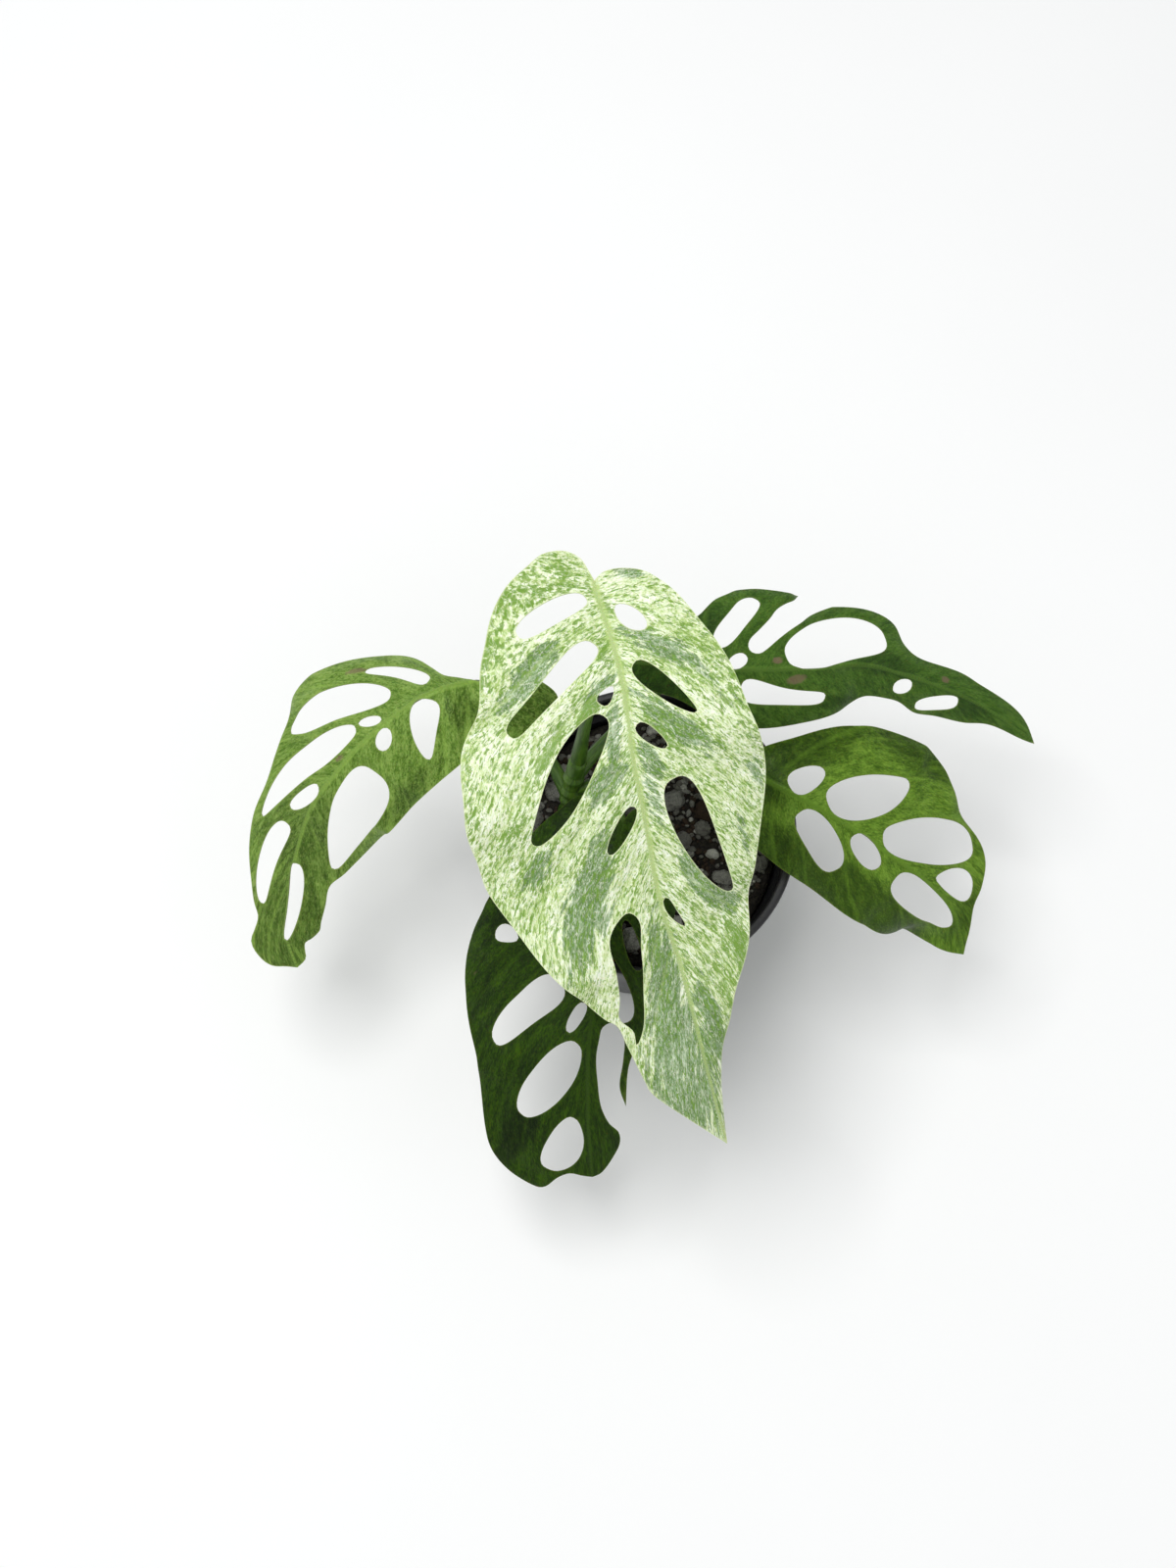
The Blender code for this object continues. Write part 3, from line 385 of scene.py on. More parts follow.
PATCHES: dict[str, tuple[Patch, ...]] = {
    "leaf_pale_top": (
        *marks(Tone.DEEP, (22, -25, 26, 8, -47), (31, -7, 14, 5, -48), (43, -5, 18, 5, -10, 0.9),
                          (56, -9, 16, 7, -48), (43, 13, 30, 7, 48, 0.85), (52, 4.5, 14, 6, 20, 0.9),
                          (62, 34, 10, 5, 10, 0.8), (64, 3.5, 16, 5, 8, 0.8), (78, 27, 16, 3, 6, 0.7),
                          (-4, 10, 10, 7, 90, 0.8), (23, 14, 26, 7, 52, 0.8), (86, -20, 38, 10, -30),
                          (76, -32, 14, 7, -34, 0.8), (93, -17, 10, 4, -40, 0.7), (92, 15, 30, 9, 26),
                          (128, -8, 62, 10, -9, 1.1), (134, 5, 34, 8, 4, 0.8), (142, -6, 52, 26, -6, 0.75),
                          (40, 30, 30, 6, 35, 0.35)),
        *marks(Tone.GREEN, (-6, -9, 7, 6, 60, 0.7), (-3, -20, 9, 8, -70, 0.7), (1, -27, 10, 7, -60, 0.65),
                           (12, -35.5, 18, 5, -18, 0.65), (0, -15, 20, 4, -68, 0.7),
                           (36.5, -11, 12, 5, -38, 1.2), (45, -23, 22, 4.5, -35, 0.9),
                           (114, 18, 18, 5, -4, 0.95), (124, 11, 16, 4, 2, 0.6), (56, -47, 12, 5, -5, 0.6),
                           (22, -4, 8, 3, -20, 0.6), (63, -37, 16, 4, -38, 0.6), (47, 10, 13, 3.5, 42, 0.9),
                           (8, 3, 10, 4, 50, 0.8))),
    "leaf_left": (
        *marks(Tone.SCAR, (32.5, -25.5, 8, 2.2, -25, 0.9), (50.5, -2.5, 4.5, 2, -20, 0.8)),
        # The strongest deep patch, on the basal lobe that lies under the pale leaf, is painted shade.
        *marks(Tone.DEEP, (6, 9, 14, 14, 0, 0.8), (44, 21, 40, 7, 6, 0.8), (-17, 12, 26, 20, 0, 1.3),
                          (82, 0, 46, 34, 0, 0.75), (114, 0, 36, 26, 0, 1.2)),
        *marks(Tone.GREEN, (9, -2, 16, 12, 0, 0.5))),
    "leaf_upper_right": (
        *marks(Tone.SCAR, (25, 3, 3.6, 2.6, 0, 0.9), (31, -3.5, 6.5, 3, 10, 1.0),
                          (86.5, 3, 3.4, 2.4, 10, 0.9)),
        *marks(Tone.DEEP, (61, 2, 26, 9, 0, 1.0), (44, -12, 22, 5, 0, 0.9), (97, -3, 22, 7, 0, 1.0),
                          # The strongest deep patch, on the basal lobe that lies under the pale leaf, is
                          # painted shade.
                          (0, 18, 14, 18, 0, 0.9), (-14, -2, 30, 20, 0, 1.4))),
    "leaf_right": (
        # The long deep patch along the left half paints the pale leaf's shade over this leaf's own marbling.
        *marks(Tone.DEEP, (9, 18, 46, 20, 55, 1.1), (48, -18, 112, 17, 0, 1.1), (2, 0, 18, 24, 0, 1.0),
                          (50, 38, 60, 14, 8, 0.8), (88, 6, 26, 26, 0, 0.7)),
        *marks(Tone.GREEN, (42, -11, 20, 5, -14, 0.9), (84, -8, 24, 12, 0, 0.8))),
    "leaf_front": (
        *marks(Tone.DEEP, (35, -30, 26, 12, -50, 1.0), (80, -17, 12, 26, 20, 0.6),
                          (99, -22, 26, 10, -30, 1.0)),
        *marks(Tone.GREEN, (51, -34, 44, 5, -42, 0.8), (81, 0, 40, 5, -4, 0.9), (72, -34, 26, 7, -30, 0.7)),
        *marks(Tone.SCAR, (57, -41, 4, 1.4, -30, 0.5))),
}

# How far a lateral vein leans from the midrib: share of the length, degrees
VEIN_LEAN = ((-0.12, 128.0), (0.0, 96.0), (0.05, 76.0), (0.16, 58.0), (0.3, 50.0), (0.45, 44.0),
             (0.65, 32.0), (0.8, 20.0), (1.0, 11.0))


def linear(colour: Triple) -> Triple:
    """Return an 8-bit sRGB colour as linear values."""
    shares = (channel / 255.0 for channel in colour)
    return tuple(s / 12.92 if s <= 0.04045 else ((s + 0.055) / 1.055) ** 2.4 for s in shares)


def span(a: np.ndarray, b: np.ndarray, c: np.ndarray, d: np.ndarray, t: np.ndarray) -> np.ndarray:
    """Return the smooth run from b to c, read at shares t, with a before and d after them."""
    square, cube = 2 * a - 5 * b + 4 * c - d, 3 * b - a - 3 * c + d
    return 0.5 * (2 * b + (c - a) * t + square * t ** 2 + cube * t ** 3)


def curve_through(points: tuple, steps: int = SPAN_STEPS) -> np.ndarray:
    """Return a smooth run of points through the given ones.

    Args:
        points: The points to pass through.
        steps: Steps between each two of them.

    Returns:
        The points of the smooth run.
    """
    p = np.asarray(points, float)
    if len(p) < 3:
        return p
    p = np.vstack([2 * p[0] - p[1], p, 2 * p[-1] - p[-2]])
    t = np.linspace(0.0, 1.0, steps, endpoint=False)[:, None]
    runs = [span(*four, t) for four in zip(p[:-3], p[1:-2], p[2:-1], p[3:])]
    return np.vstack(runs + [p[-2][None]])


def lengths_along(points: np.ndarray) -> np.ndarray:
    """Return how far along the run each of its points lies."""
    return np.concatenate([[0.0], np.cumsum(np.linalg.norm(np.diff(points, axis=0), axis=1))])


def evenly(points: np.ndarray, count: int) -> np.ndarray:
    """Return a run again at equal steps.

    Args:
        points: The points of the run.
        count: How many points it gets.

    Returns:
        The evenly stepped points.
    """
    s = lengths_along(points)
    q = np.linspace(0.0, s[-1], count)
    return np.stack([np.interp(q, s, points[:, k]) for k in range(points.shape[1])], axis=-1)


def closed_steps(line: np.ndarray, step: float) -> np.ndarray:
    """Return a closed run of points again, evenly stepped."""
    count = max(12, round(lengths_along(line)[-1] / step))
    return evenly(line, count + 1)[:-1]


def smooth_side(points: tuple[Pair, ...], step: float) -> np.ndarray:
    """Return one side of an outline, smooth between its corners.

    Args:
        points: Its (along, across) pairs; a repeated pair is a corner.
        step: Distance between the points that come back.

    Returns:
        The evenly stepped points.
    """
    runs = [[points[0]]]
    for before, here in zip(points, points[1:]):
        if here == before:
            runs.append([here])
        else:
            runs[-1].append(here)
    out = []
    for run in runs:
        line = curve_through(run)
        count = max(2, round(lengths_along(line)[-1] / step) + 1)
        out.extend(evenly(line, count)[:-1])
    out.append(np.array(points[-1], float))
    return np.array(out)


def outline_loop(leaf: Leaf, step: float) -> np.ndarray:
    """Return the closed outline of a leaf, anticlockwise seen from above."""
    left, right = smooth_side(leaf.left, step), smooth_side(leaf.right, step)
    return np.vstack([left[:-1], right[::-1][:-1]])


def inside(points: np.ndarray, loop: np.ndarray) -> np.ndarray:
    """Tell which points lie inside a closed loop.

    Args:
        points: The points to test.
        loop: The points of the loop.

    Returns:
        True for each point inside it.
    """
    a, b = loop, np.roll(loop, -1, axis=0)
    rise = np.where(b[:, 1] == a[:, 1], 1e-12, b[:, 1] - a[:, 1])
    found = []
    for part in np.array_split(points, max(1, len(points) // 2000)):
        x, y = part[:, 0][:, None], part[:, 1][:, None]
        spans = (a[:, 1] > y) != (b[:, 1] > y)
        cross = a[:, 0] + (y - a[:, 1]) * (b[:, 0] - a[:, 0]) / rise
        found.append((spans & (x < cross)).sum(axis=1) % 2 == 1)
    return np.concatenate(found)


def nearest(points: np.ndarray, others: np.ndarray) -> np.ndarray:
    """Return each point's distance to the nearest of the others.

    Args:
        points: The points to measure from.
        others: The points to measure to.

    Returns:
        The distances.
    """
    parts = np.array_split(points, max(1, len(points) // 1000))
    gaps = [np.linalg.norm(part[:, None] - others[None], axis=2) for part in parts]
    return np.concatenate([gap.min(axis=1) for gap in gaps])


def smooth_step(value: np.ndarray, low: float, high: float) -> np.ndarray:
    """Return 0 below low, 1 above high and a soft rise between."""
    t = np.clip((value - low) / (high - low), 0.0, 1.0)
    return t * t * (3.0 - 2.0 * t)


def bell(value: np.ndarray, width: float) -> np.ndarray:
    """Return 1 at zero and a soft fall on both sides."""
    return np.exp(-(value / width) ** 2)


def wave_at(x: float, y: float, scale: float, seed: float) -> float:
    """Return smooth noise in about -1..1 at one place."""
    return noise.noise(Vector((x * scale, y * scale, seed)))


def unevenness(points: np.ndarray, scale: float, seed: float) -> np.ndarray:
    """Return smooth noise in about -1..1 at 2-D points."""
    return np.array([wave_at(x, y, scale, seed) for x, y in points])


class Blade:
    """The curved middle surface of a leaf, from (along, across) to space in millimetres."""

    def __init__(self, leaf: Leaf) -> None:
        """Lay out the midrib with its tangents and its upper side.

        Args:
            leaf: The table of the leaf.
        """
        self.leaf = leaf
        line = curve_through(leaf.path, MIDRIB_STEPS)
        self.line = evenly(line, MIDRIB_POINTS)
        self.s = lengths_along(self.line)
        self.back = float(lengths_along(line)[MIDRIB_STEPS])
        self.length = self.s[-1] - self.back
        t = np.gradient(self.line, self.s, axis=0)
        padded = np.pad(t, ((SMOOTHING // 2, SMOOTHING // 2), (0, 0)), mode="edge")
        even = np.ones(SMOOTHING) / SMOOTHING
        t = np.stack([np.convolve(padded[:, k], even, "valid") for k in range(3)], axis=-1)
        self.t = t / np.linalg.norm(t, axis=1)[:, None]
        up = np.array(leaf.up)
        n = up - self.t * (self.t @ up)[:, None]
        self.n = n / np.linalg.norm(n, axis=1)[:, None]
        self.b = np.cross(self.n, self.t)

    def _along(self, q: np.ndarray, rows: np.ndarray) -> np.ndarray:
        """Return rows of the midrib read at lengths q."""
        return np.stack([np.interp(q, self.s, rows[:, k]) for k in range(3)], axis=-1)

    def _angle(self, x: np.ndarray, y: np.ndarray, table: tuple[Triple, ...]) -> np.ndarray:
        """Return the angle from a fold or curl table at each place, in radians.

        Args:
            x: Places along the midrib.
            y: Places across it.
            table: The fold or curl table.

        Returns:
            The angles.
        """
        f = x / self.length
        at, left, right = (np.array(column, float) for column in zip(*table))
        return np.radians(np.where(y >= 0, np.interp(f, at, right), np.interp(f, at, left)))

    def point(self, x: np.ndarray | float, y: np.ndarray | float) -> np.ndarray:
        """Return points of the middle surface.

        Args:
            x: Places along the midrib, from the stalk's seat.
            y: Places across it, negative on the left half.

        Returns:
            The points in space.
        """
        x, y = np.asarray(x, float), np.asarray(y, float)
        q = x + self.back
        beyond = np.where(q > self.s[-1], q - self.s[-1], np.minimum(q, 0.0))[..., None]
        t, n, b = (self._along(q, rows) for rows in (self.t, self.n, self.b))
        centre = self._along(q, self.line) + t * beyond
        fold = self._angle(x, y, self.leaf.fold)
        curl = self._angle(x, y, self.leaf.curl) / self.leaf.reach
        wide = np.abs(y)
        across = (np.sin(fold + curl * wide) - np.sin(fold)) / curl
        rise = (np.cos(fold) - np.cos(fold + curl * wide)) / curl
        height, wave, phase = self.leaf.ripple
        swing = np.sin(2 * math.pi * x / wave + phase + RIPPLE_SHIFT * (y > 0))
        rise = rise + height * swing * (wide / self.leaf.reach) ** 2
        return centre + b * (np.sign(y) * across)[..., None] + n * rise[..., None]

    def normal(self, x: np.ndarray | float, y: np.ndarray | float, h: float = 0.4) -> np.ndarray:
        """Return unit normals of the middle surface, on its upper side.

        Args:
            x: Places along the midrib.
            y: Places across it.
            h: How far to each side the surface is read.

        Returns:
            The unit normals.
        """
        dx = self.point(x + h, y) - self.point(x - h, y)
        dy = self.point(x, y + h) - self.point(x, y - h)
        n = np.cross(dx, dy)
        return n / np.linalg.norm(n, axis=-1)[..., None]


class VeinField:
    """The run of the lateral veins over a blade."""

    def __init__(self, leaf: Leaf) -> None:
        """Lay out the veins' lean and set a main vein between each two holes.

        Args:
            leaf: The table of the leaf.
        """
        self.length = leaf.left[-1][0]
        self.at, self.lean = (np.array(column) for column in zip(*VEIN_LEAN))
        self.xs = np.linspace(-30.0, self.length + 10.0, 400)
        steps = np.sin(np.radians(self._lean(self.xs))) * np.gradient(self.xs)
        self.gauge = np.cumsum(steps) - np.interp(0.0, self.xs, np.cumsum(steps))
        self.veins = {side: self._between(leaf.holes, side) for side in (-1, 1)}

    def _lean(self, x: np.ndarray) -> np.ndarray:
        """Return the veins' angle from the midrib at x, in degrees."""
        return np.interp(x / self.length, self.at, self.lean)

    def trace(self, x: np.ndarray, y: np.ndarray) -> tuple[np.ndarray, np.ndarray]:
        """Follow the veins back from points to the midrib.

        Args:
            x: Places along the midrib.
            y: Places across it.

        Returns:
            How far each point lies out along its vein, and the gauge of that vein.
        """
        px, py = np.array(x, float), np.abs(np.array(y, float))
        out = np.zeros_like(px)
        for _ in range(TRACE_COUNT):
            bend = VEIN_BEND * np.clip(py / VEIN_BEND_REACH, 0.0, 1.0)
            angle = np.radians(self._lean(px) * (1.0 - bend))
            step = np.minimum(TRACE_STEP, py / np.maximum(np.sin(angle), 0.05))
            px -= np.cos(angle) * step
            py = np.maximum(py - np.sin(angle) * step, 0.0)
            out += step
        return out, np.interp(px, self.xs, self.gauge)

    def _between(self, holes: tuple, side: int) -> np.ndarray:
        """Return the gauges of the main veins on one side, midway between its holes.

        Args:
            holes: The holes of the leaf.
            side: -1 for the left half, 1 for the right half.

        Returns:
            The gauges in rising order.
        """
        loops = [hole.loop(EDGE_STEP) for hole in holes]
        mine = [loop for loop in loops
                if loop[:, 1].mean() * side > 0 and np.ptp(loop, axis=0).max() > MAIN_HOLE]
        if not mine:
            return np.arange(*PLAIN_VEINS)
        centres = np.array([loop.mean(axis=0) for loop in mine])
        gauges = np.sort(self.trace(centres[:, 0], centres[:, 1])[1])
        middle = (gauges[1:] + gauges[:-1]) / 2
        ends = [gauges[0] - 5.5, gauges[0] - 13.0, gauges[-1] + 4.5, gauges[-1] + 9.5]
        return np.sort(np.concatenate([middle, ends]))

    def offset(self, gauge: np.ndarray, side: np.ndarray) -> np.ndarray:
        """Return how far veins of these gauges, on these sides, lie from the nearest main vein."""
        gaps = [np.abs(gauge[:, None] - self.veins[s][None]).min(axis=1) for s in (-1, 1)]
        return np.where(side < 0, gaps[0], gaps[1])


def patch_amount(patches: tuple[Patch, ...], tone: Tone, x: np.ndarray, y: np.ndarray) -> np.ndarray:
    """Return how strongly one tone's patches colour each place.

    Args:
        patches: The patches of a leaf.
        tone: The tone that counts.
        x: Places along the midrib.
        y: Places across it.

    Returns:
        Shares from 0 to about 1.
    """
    total = np.zeros_like(x)
    for patch in patches:
        if patch.tone is tone:
            c, s = math.cos(math.radians(patch.turn)), math.sin(math.radians(patch.turn))
            u = ((x - patch.along) * c + (y - patch.across) * s) / (patch.length / 2)
            v = ((y - patch.across) * c - (x - patch.along) * s) / (patch.width / 2)
            total = np.maximum(total, patch.strength * np.exp(-PATCH_FALL * (u * u + v * v) ** 1.5))
    return total


def new_object(name: str, mesh: bpy.types.Mesh) -> bpy.types.Object:
    """Return a linked object that holds the mesh.

    Args:
        name: Name of the object.
        mesh: Its mesh.

    Returns:
        The object.
    """
    obj = bpy.data.objects.new(name, mesh)
    bpy.context.scene.collection.objects.link(obj)
    return obj


def mesh_from(name: str, points: list | np.ndarray, faces: list) -> bpy.types.Mesh:
    """Return a mesh from millimetre points and faces.

    Args:
        name: Name of the mesh.
        points: Its points in millimetres.
        faces: Its faces, as numbers of the points.

    Returns:
        The mesh.
    """
    mesh = bpy.data.meshes.new(name)
    mesh.from_pydata((np.asarray(points, float) * MM).tolist(), [], [list(map(int, f)) for f in faces])
    mesh.update()
    return mesh


def add_vectors(mesh: bpy.types.Mesh, name: str, rows: np.ndarray) -> None:
    """Store a vector for every point of a mesh."""
    attribute = mesh.attributes.new(name, "FLOAT_VECTOR", "POINT")
    attribute.data.foreach_set("vector", np.asarray(rows, np.float32).ravel())


def merged(name: str, meshes: list[bpy.types.Mesh]) -> bpy.types.Object:
    """Return one object that holds several meshes and their attributes.

    Args:
        name: Name of the object.
        meshes: The meshes.

    Returns:
        The object.
    """
    parts = [new_object(f"{name}_{k}", mesh) for k, mesh in enumerate(meshes)]
    with bpy.context.temp_override(active_object=parts[0], selected_editable_objects=parts):
        bpy.ops.object.join()
    parts[0].name = name
    parts[0].data.name = name
    return parts[0]


class Shade:
    """A procedural material, built up by short calls."""

    def __init__(self, name: str) -> None:
        """Start a material with one Principled shader.

        Args:
            name: Name of the material.
        """
        self.material = bpy.data.materials.new(name)
        self.material.use_nodes = True
        self.tree = self.material.node_tree
        self.surface = self.tree.nodes["Principled BSDF"]

    def put(self, socket: Socket, value: Value) -> None:
        """Link a socket to another, or set it to a plain value or colour.

        Args:
            socket: The input to fill.
            value: A socket, a number, a vector or an 8-bit colour.
        """
        if isinstance(value, bpy.types.NodeSocket):
            self.tree.links.new(value, socket)
        elif isinstance(value, tuple) and socket.type == "RGBA":
            socket.default_value = (*linear(value), 1.0)
        else:
            socket.default_value = value

    def add(self, kind: str, settings: dict | None = None, *values: Value | None) -> bpy.types.Node:
        """Add a node.

        Args:
            kind: Its type.
            settings: Its options.
            values: What its inputs take, in order; None leaves one as it is.

        Returns:
            The node.
        """
        node = self.tree.nodes.new(kind)
        for key, value in (settings or {}).items():
            setattr(node, key, value)
        for socket, value in zip(node.inputs, values):
            if value is not None:
                self.put(socket, value)
        return node

    def math(self, operation: str, a: Value, b: Value = 0.0, c: Value = 0.0) -> Socket:
        """Return the result of one maths node."""
        return self.add("ShaderNodeMath", {"operation": operation}, a, b, c).outputs[0]

    def times(self, a: Value, b: Value) -> Socket:
        """Return a times b."""
        return self.math("MULTIPLY", a, b)

    def plus(self, a: Value, b: Value) -> Socket:
        """Return a plus b."""
        return self.math("ADD", a, b)

    def fused(self, a: Value, b: Value, c: Value) -> Socket:
        """Return a times b plus c."""
        return self.math("MULTIPLY_ADD", a, b, c)

    def read(self, name: str) -> Socket:
        """Return a point attribute as a vector."""
        return self.add("ShaderNodeAttribute", {"attribute_name": name}).outputs["Vector"]

    def millimetres(self) -> Socket:
        """Return the place on the object in millimetres.

        Returns:
            The place as a vector.
        """
        place = self.add("ShaderNodeTexCoord").outputs["Object"]
        scaled = self.add("ShaderNodeVectorMath", {"operation": "SCALE"}, place)
        scaled.inputs["Scale"].default_value = 1.0 / MM
        return scaled.outputs[0]

    def split(self, vector: Socket) -> bpy.types.bpy_prop_collection:
        """Return a vector's three parts."""
        return self.add("ShaderNodeSeparateXYZ", {}, vector).outputs

    def join(self, parts: tuple[Value, ...], factors: Triple = (1, 1, 1)) -> Socket:
        """Return a vector from three parts, each times its factor."""
        scaled = [part if factor == 1 else self.times(part, factor) for part, factor in zip(parts, factors)]
        return self.add("ShaderNodeCombineXYZ", {}, *scaled).outputs[0]

    def noise(self, vector: Socket, scale: float, detail: float = 2.0, rough: float = 0.5,
              warp: float = 0.0) -> Socket:
        """Return fractal noise between 0 and 1.

        Args:
            vector: Where it is read.
            scale: How many swings there are to a unit.
            detail: How many finer layers it has.
            rough: How strong the finer layers are.
            warp: How far it is bent out of shape.

        Returns:
            The noise.
        """
        node = self.add("ShaderNodeTexNoise", {}, vector)
        for key, value in (("Scale", scale), ("Detail", detail), ("Roughness", rough), ("Distortion", warp)):
            node.inputs[key].default_value = value
        return node.outputs[0]

    def cells(self, vector: Socket, scale: float, feature: str = "F1") -> Socket:
        """Return the distance in a Voronoi pattern.

        Args:
            vector: Where it is read.
            scale: How many cells there are to a unit.
            feature: Which distance is meant.

        Returns:
            The distance.
        """
        node = self.add("ShaderNodeTexVoronoi", {"feature": feature}, vector)
        node.inputs["Scale"].default_value = scale
        return node.outputs["Distance"]

    def rise(self, value: Value, low: float, high: float, top: float = 1.0) -> Socket:
        """Return a soft rise from 0 at low to top at high."""
        smooth = {"interpolation_type": "SMOOTHSTEP"}
        return self.add("ShaderNodeMapRange", smooth, value, low, high, 0.0, top).outputs[0]

    def blend(self, share: Value, a: Value, b: Value) -> Socket:
        """Return colour a with the given share of colour b.

        Args:
            share: How much of b shows.
            a: The first colour.
            b: The second colour.

        Returns:
            The blended colour.
        """
        node = self.add("ShaderNodeMix", {"data_type": "RGBA"})
        for index, value in ((0, share), (6, a), (7, b)):
            self.put(node.inputs[index], value)
        return node.outputs[2]

    def ramp(self, value: Socket, stops: tuple) -> Socket:
        """Return a colour picked along (place, colour) stops.

        Args:
            value: What picks the colour.
            stops: The stops, by rising place.

        Returns:
            The colour.
        """
        node = self.add("ShaderNodeValToRGB", {}, value)
        marks = node.color_ramp.elements
        while len(marks) < len(stops):
            marks.new(0.5)
        for mark, (place, colour) in zip(marks, stops):
            mark.position = place
            mark.color = (*linear(colour), 1.0)
        return node.outputs[0]

    def bump(self, height: Socket, strength: float, distance: float, under: Socket | None = None) -> Socket:
        """Return a normal bent by a height pattern.

        Args:
            height: The pattern.
            strength: How strongly it bends the normal.
            distance: Its full height in metres.
            under: A bent normal to go on from.

        Returns:
            The bent normal.
        """
        node = self.add("ShaderNodeBump")
        node.inputs["Strength"].default_value = strength
        node.inputs["Distance"].default_value = distance
        self.put(node.inputs["Height"], height)
        if under is not None:
            self.put(node.inputs["Normal"], under)
        return node.outputs[0]

    def finish(self, colour: Value, roughness: Value, normal: Socket | None = None,
               **fixed: float) -> bpy.types.Material:
        """Connect the shader and return the material.

        Args:
            colour: Base colour socket.
            roughness: Roughness socket or number.
            normal: Normal socket, if any.
            fixed: Plain numbers for other inputs, with _ for a space in the name.

        Returns:
            The finished material.
        """
        self.put(self.surface.inputs["Base Color"], colour)
        self.put(self.surface.inputs["Roughness"], roughness)
        if normal is not None:
            self.put(self.surface.inputs["Normal"], normal)
        for key, value in fixed.items():
            self.surface.inputs[key.replace("_", " ")].default_value = value
        return self.material


@dataclass(frozen=True)
class LeafFinish:
    """Colours (8-bit sRGB) and pattern strengths of one blade's material.

    tones and sector_and_shade_tones are (place, colour) stops from the palest to the deepest marking; on the
    green leaves the sector_and_shade_tones also paint the shade that the pale leaf casts. A fleck shows where
    its noise passes fleck_at and is full fleck_edge later. ragged says how broken the sectors are.
    """

    tones: tuple
    sector_and_shade_tones: tuple
    patch: Triple
    fleck: Triple
    web: Triple
    rib: Triple
    rim: Triple
    under: Triple
    contrast: float
    fleck_amount: float
    fleck_at: float
    fleck_edge: float
    ragged: float
    sector_and_shade_amount: float
    patch_amount: float
    web_amount: float
    rib_width: float
    rib_light: float
    vein_light: float
    roughness: float
    seed: float

    def material(self, name: str) -> bpy.types.Material:
        """Return the blade's material: ground, sectors and painted shade, flecks and net along the veins, rib
        and margin.

        Args:
            name: Name of the material.

        Returns:
            The finished material.
        """
        s = Shade(name)
        out, gauge, side = s.split(s.read("flow"))
        along, from_rib, upper = s.split(s.read("place"))
        deep, green, scar = s.split(s.read("tone"))
        edge, vein, fade = s.split(s.read("mark"))
        lane = s.fused(side, LANE_GAP, self.seed)
        long, wide, short = (s.join((out, gauge, lane), (drawn, 1, 1)) for drawn in DRAWN_OUT)

        broad = s.noise(wide, 0.15, 3.0, 0.55)
        mid = s.noise(wide, 0.6, 3.0, 0.6, 0.35)
        grain = s.noise(short, 2.3, 2.0, 0.6)
        streak = s.noise(long, 0.95, 3.0, 0.6, 0.25)
        tone = s.fused(mid, 1.0, s.fused(grain, 1.2, s.times(broad, 0.4)))
        tone = s.fused(tone, self.contrast, 0.5 - 1.3 * self.contrast)
        crowd = s.fused(broad, 0.24, s.fused(green, 0.12, s.times(deep, 0.03)))
        blot = s.plus(s.noise(wide, 1.6, 3.0, 0.68, 0.5), s.plus(crowd, -0.12))
        fleck = s.rise(blot, self.fleck_at, self.fleck_at + self.fleck_edge)
        core_at = self.fleck_at + CORE_INSET
        core = s.rise(blot, core_at, core_at + self.fleck_edge)

        colour = s.blend(s.times(fleck, self.fleck_amount), s.ramp(tone, self.tones), self.fleck)
        # Sectors of deeper green where the deep patches lie; on the green leaves these also paint the shade
        # cast by the pale leaf.
        soft = s.fused(streak, 1.3 * self.ragged, s.fused(mid, 1.1 * self.ragged, -1.2 * self.ragged))
        sector_and_shade = s.rise(s.plus(deep, soft), 0.3 * self.ragged, 1.0 - 0.35 * self.ragged, self.sector_and_shade_amount)
        colour = s.blend(sector_and_shade, colour, s.ramp(s.fused(fleck, 0.14, tone), self.sector_and_shade_tones))
        leafy = s.fused(grain, 0.9, s.fused(mid, 1.0, s.plus(green, -0.95)))
        spot = s.times(s.rise(leafy, 0.5, 0.8), self.patch_amount)
        spot = s.math("MAXIMUM", spot, s.times(core, self.fleck_amount))
        colour = s.blend(spot, colour, self.patch)

        net = s.times(self._net(s, short), s.fused(spot, -0.6, 1.0))
        colour = s.blend(s.times(net, self.web_amount), colour, self.web)
        line = s.times(s.rise(vein, 0.8, 0.1), fade)
        colour = s.blend(s.times(line, self.vein_light), colour, self.rib)
        stripe = s.noise(s.join((s.times(along, 0.05), s.times(from_rib, side), lane)), 3.2, 2.0, 0.6)
        rib = s.times(s.rise(from_rib, 1.25, 0.35), s.rise(stripe, 0.2, 0.6, self.rib_light))
        colour = s.blend(rib, colour, self.rib)
        colour = s.blend(s.rise(edge, 0.5, 0.1, 0.6), colour, self.rim)
        scarred = s.rise(s.plus(scar, s.fused(grain, 0.6, -0.3)), 0.25, 0.7, 0.7)
        colour = s.blend(scarred, colour, SCAR_COLOUR)
        belly = s.blend(s.rise(s.noise(short, 0.6, 4.0, 0.6), 0.35, 0.7, 0.6), self.under, self.rim)
        colour = s.blend(s.rise(upper, 0.6, 0.4), colour, belly)

        relief = s.plus(s.times(net, 0.5), s.times(streak, 1.0))
        relief = s.plus(relief, s.times(s.rise(vein, 1.4, 0.0), -0.8))
        relief = s.plus(relief, s.times(s.times(stripe, s.rise(from_rib, 1.6, 0.6)), 0.7))
        rough = s.fused(s.noise(wide, 0.8, 2.0), 0.22, self.roughness - 0.1)
        rough = s.plus(rough, s.rise(upper, 0.6, 0.4, 0.2))
        return s.finish(colour, rough, s.bump(relief, 0.5, 0.00025), Specular_IOR_Level=0.16,
                        Subsurface_Weight=0.06, Subsurface_Scale=0.002)

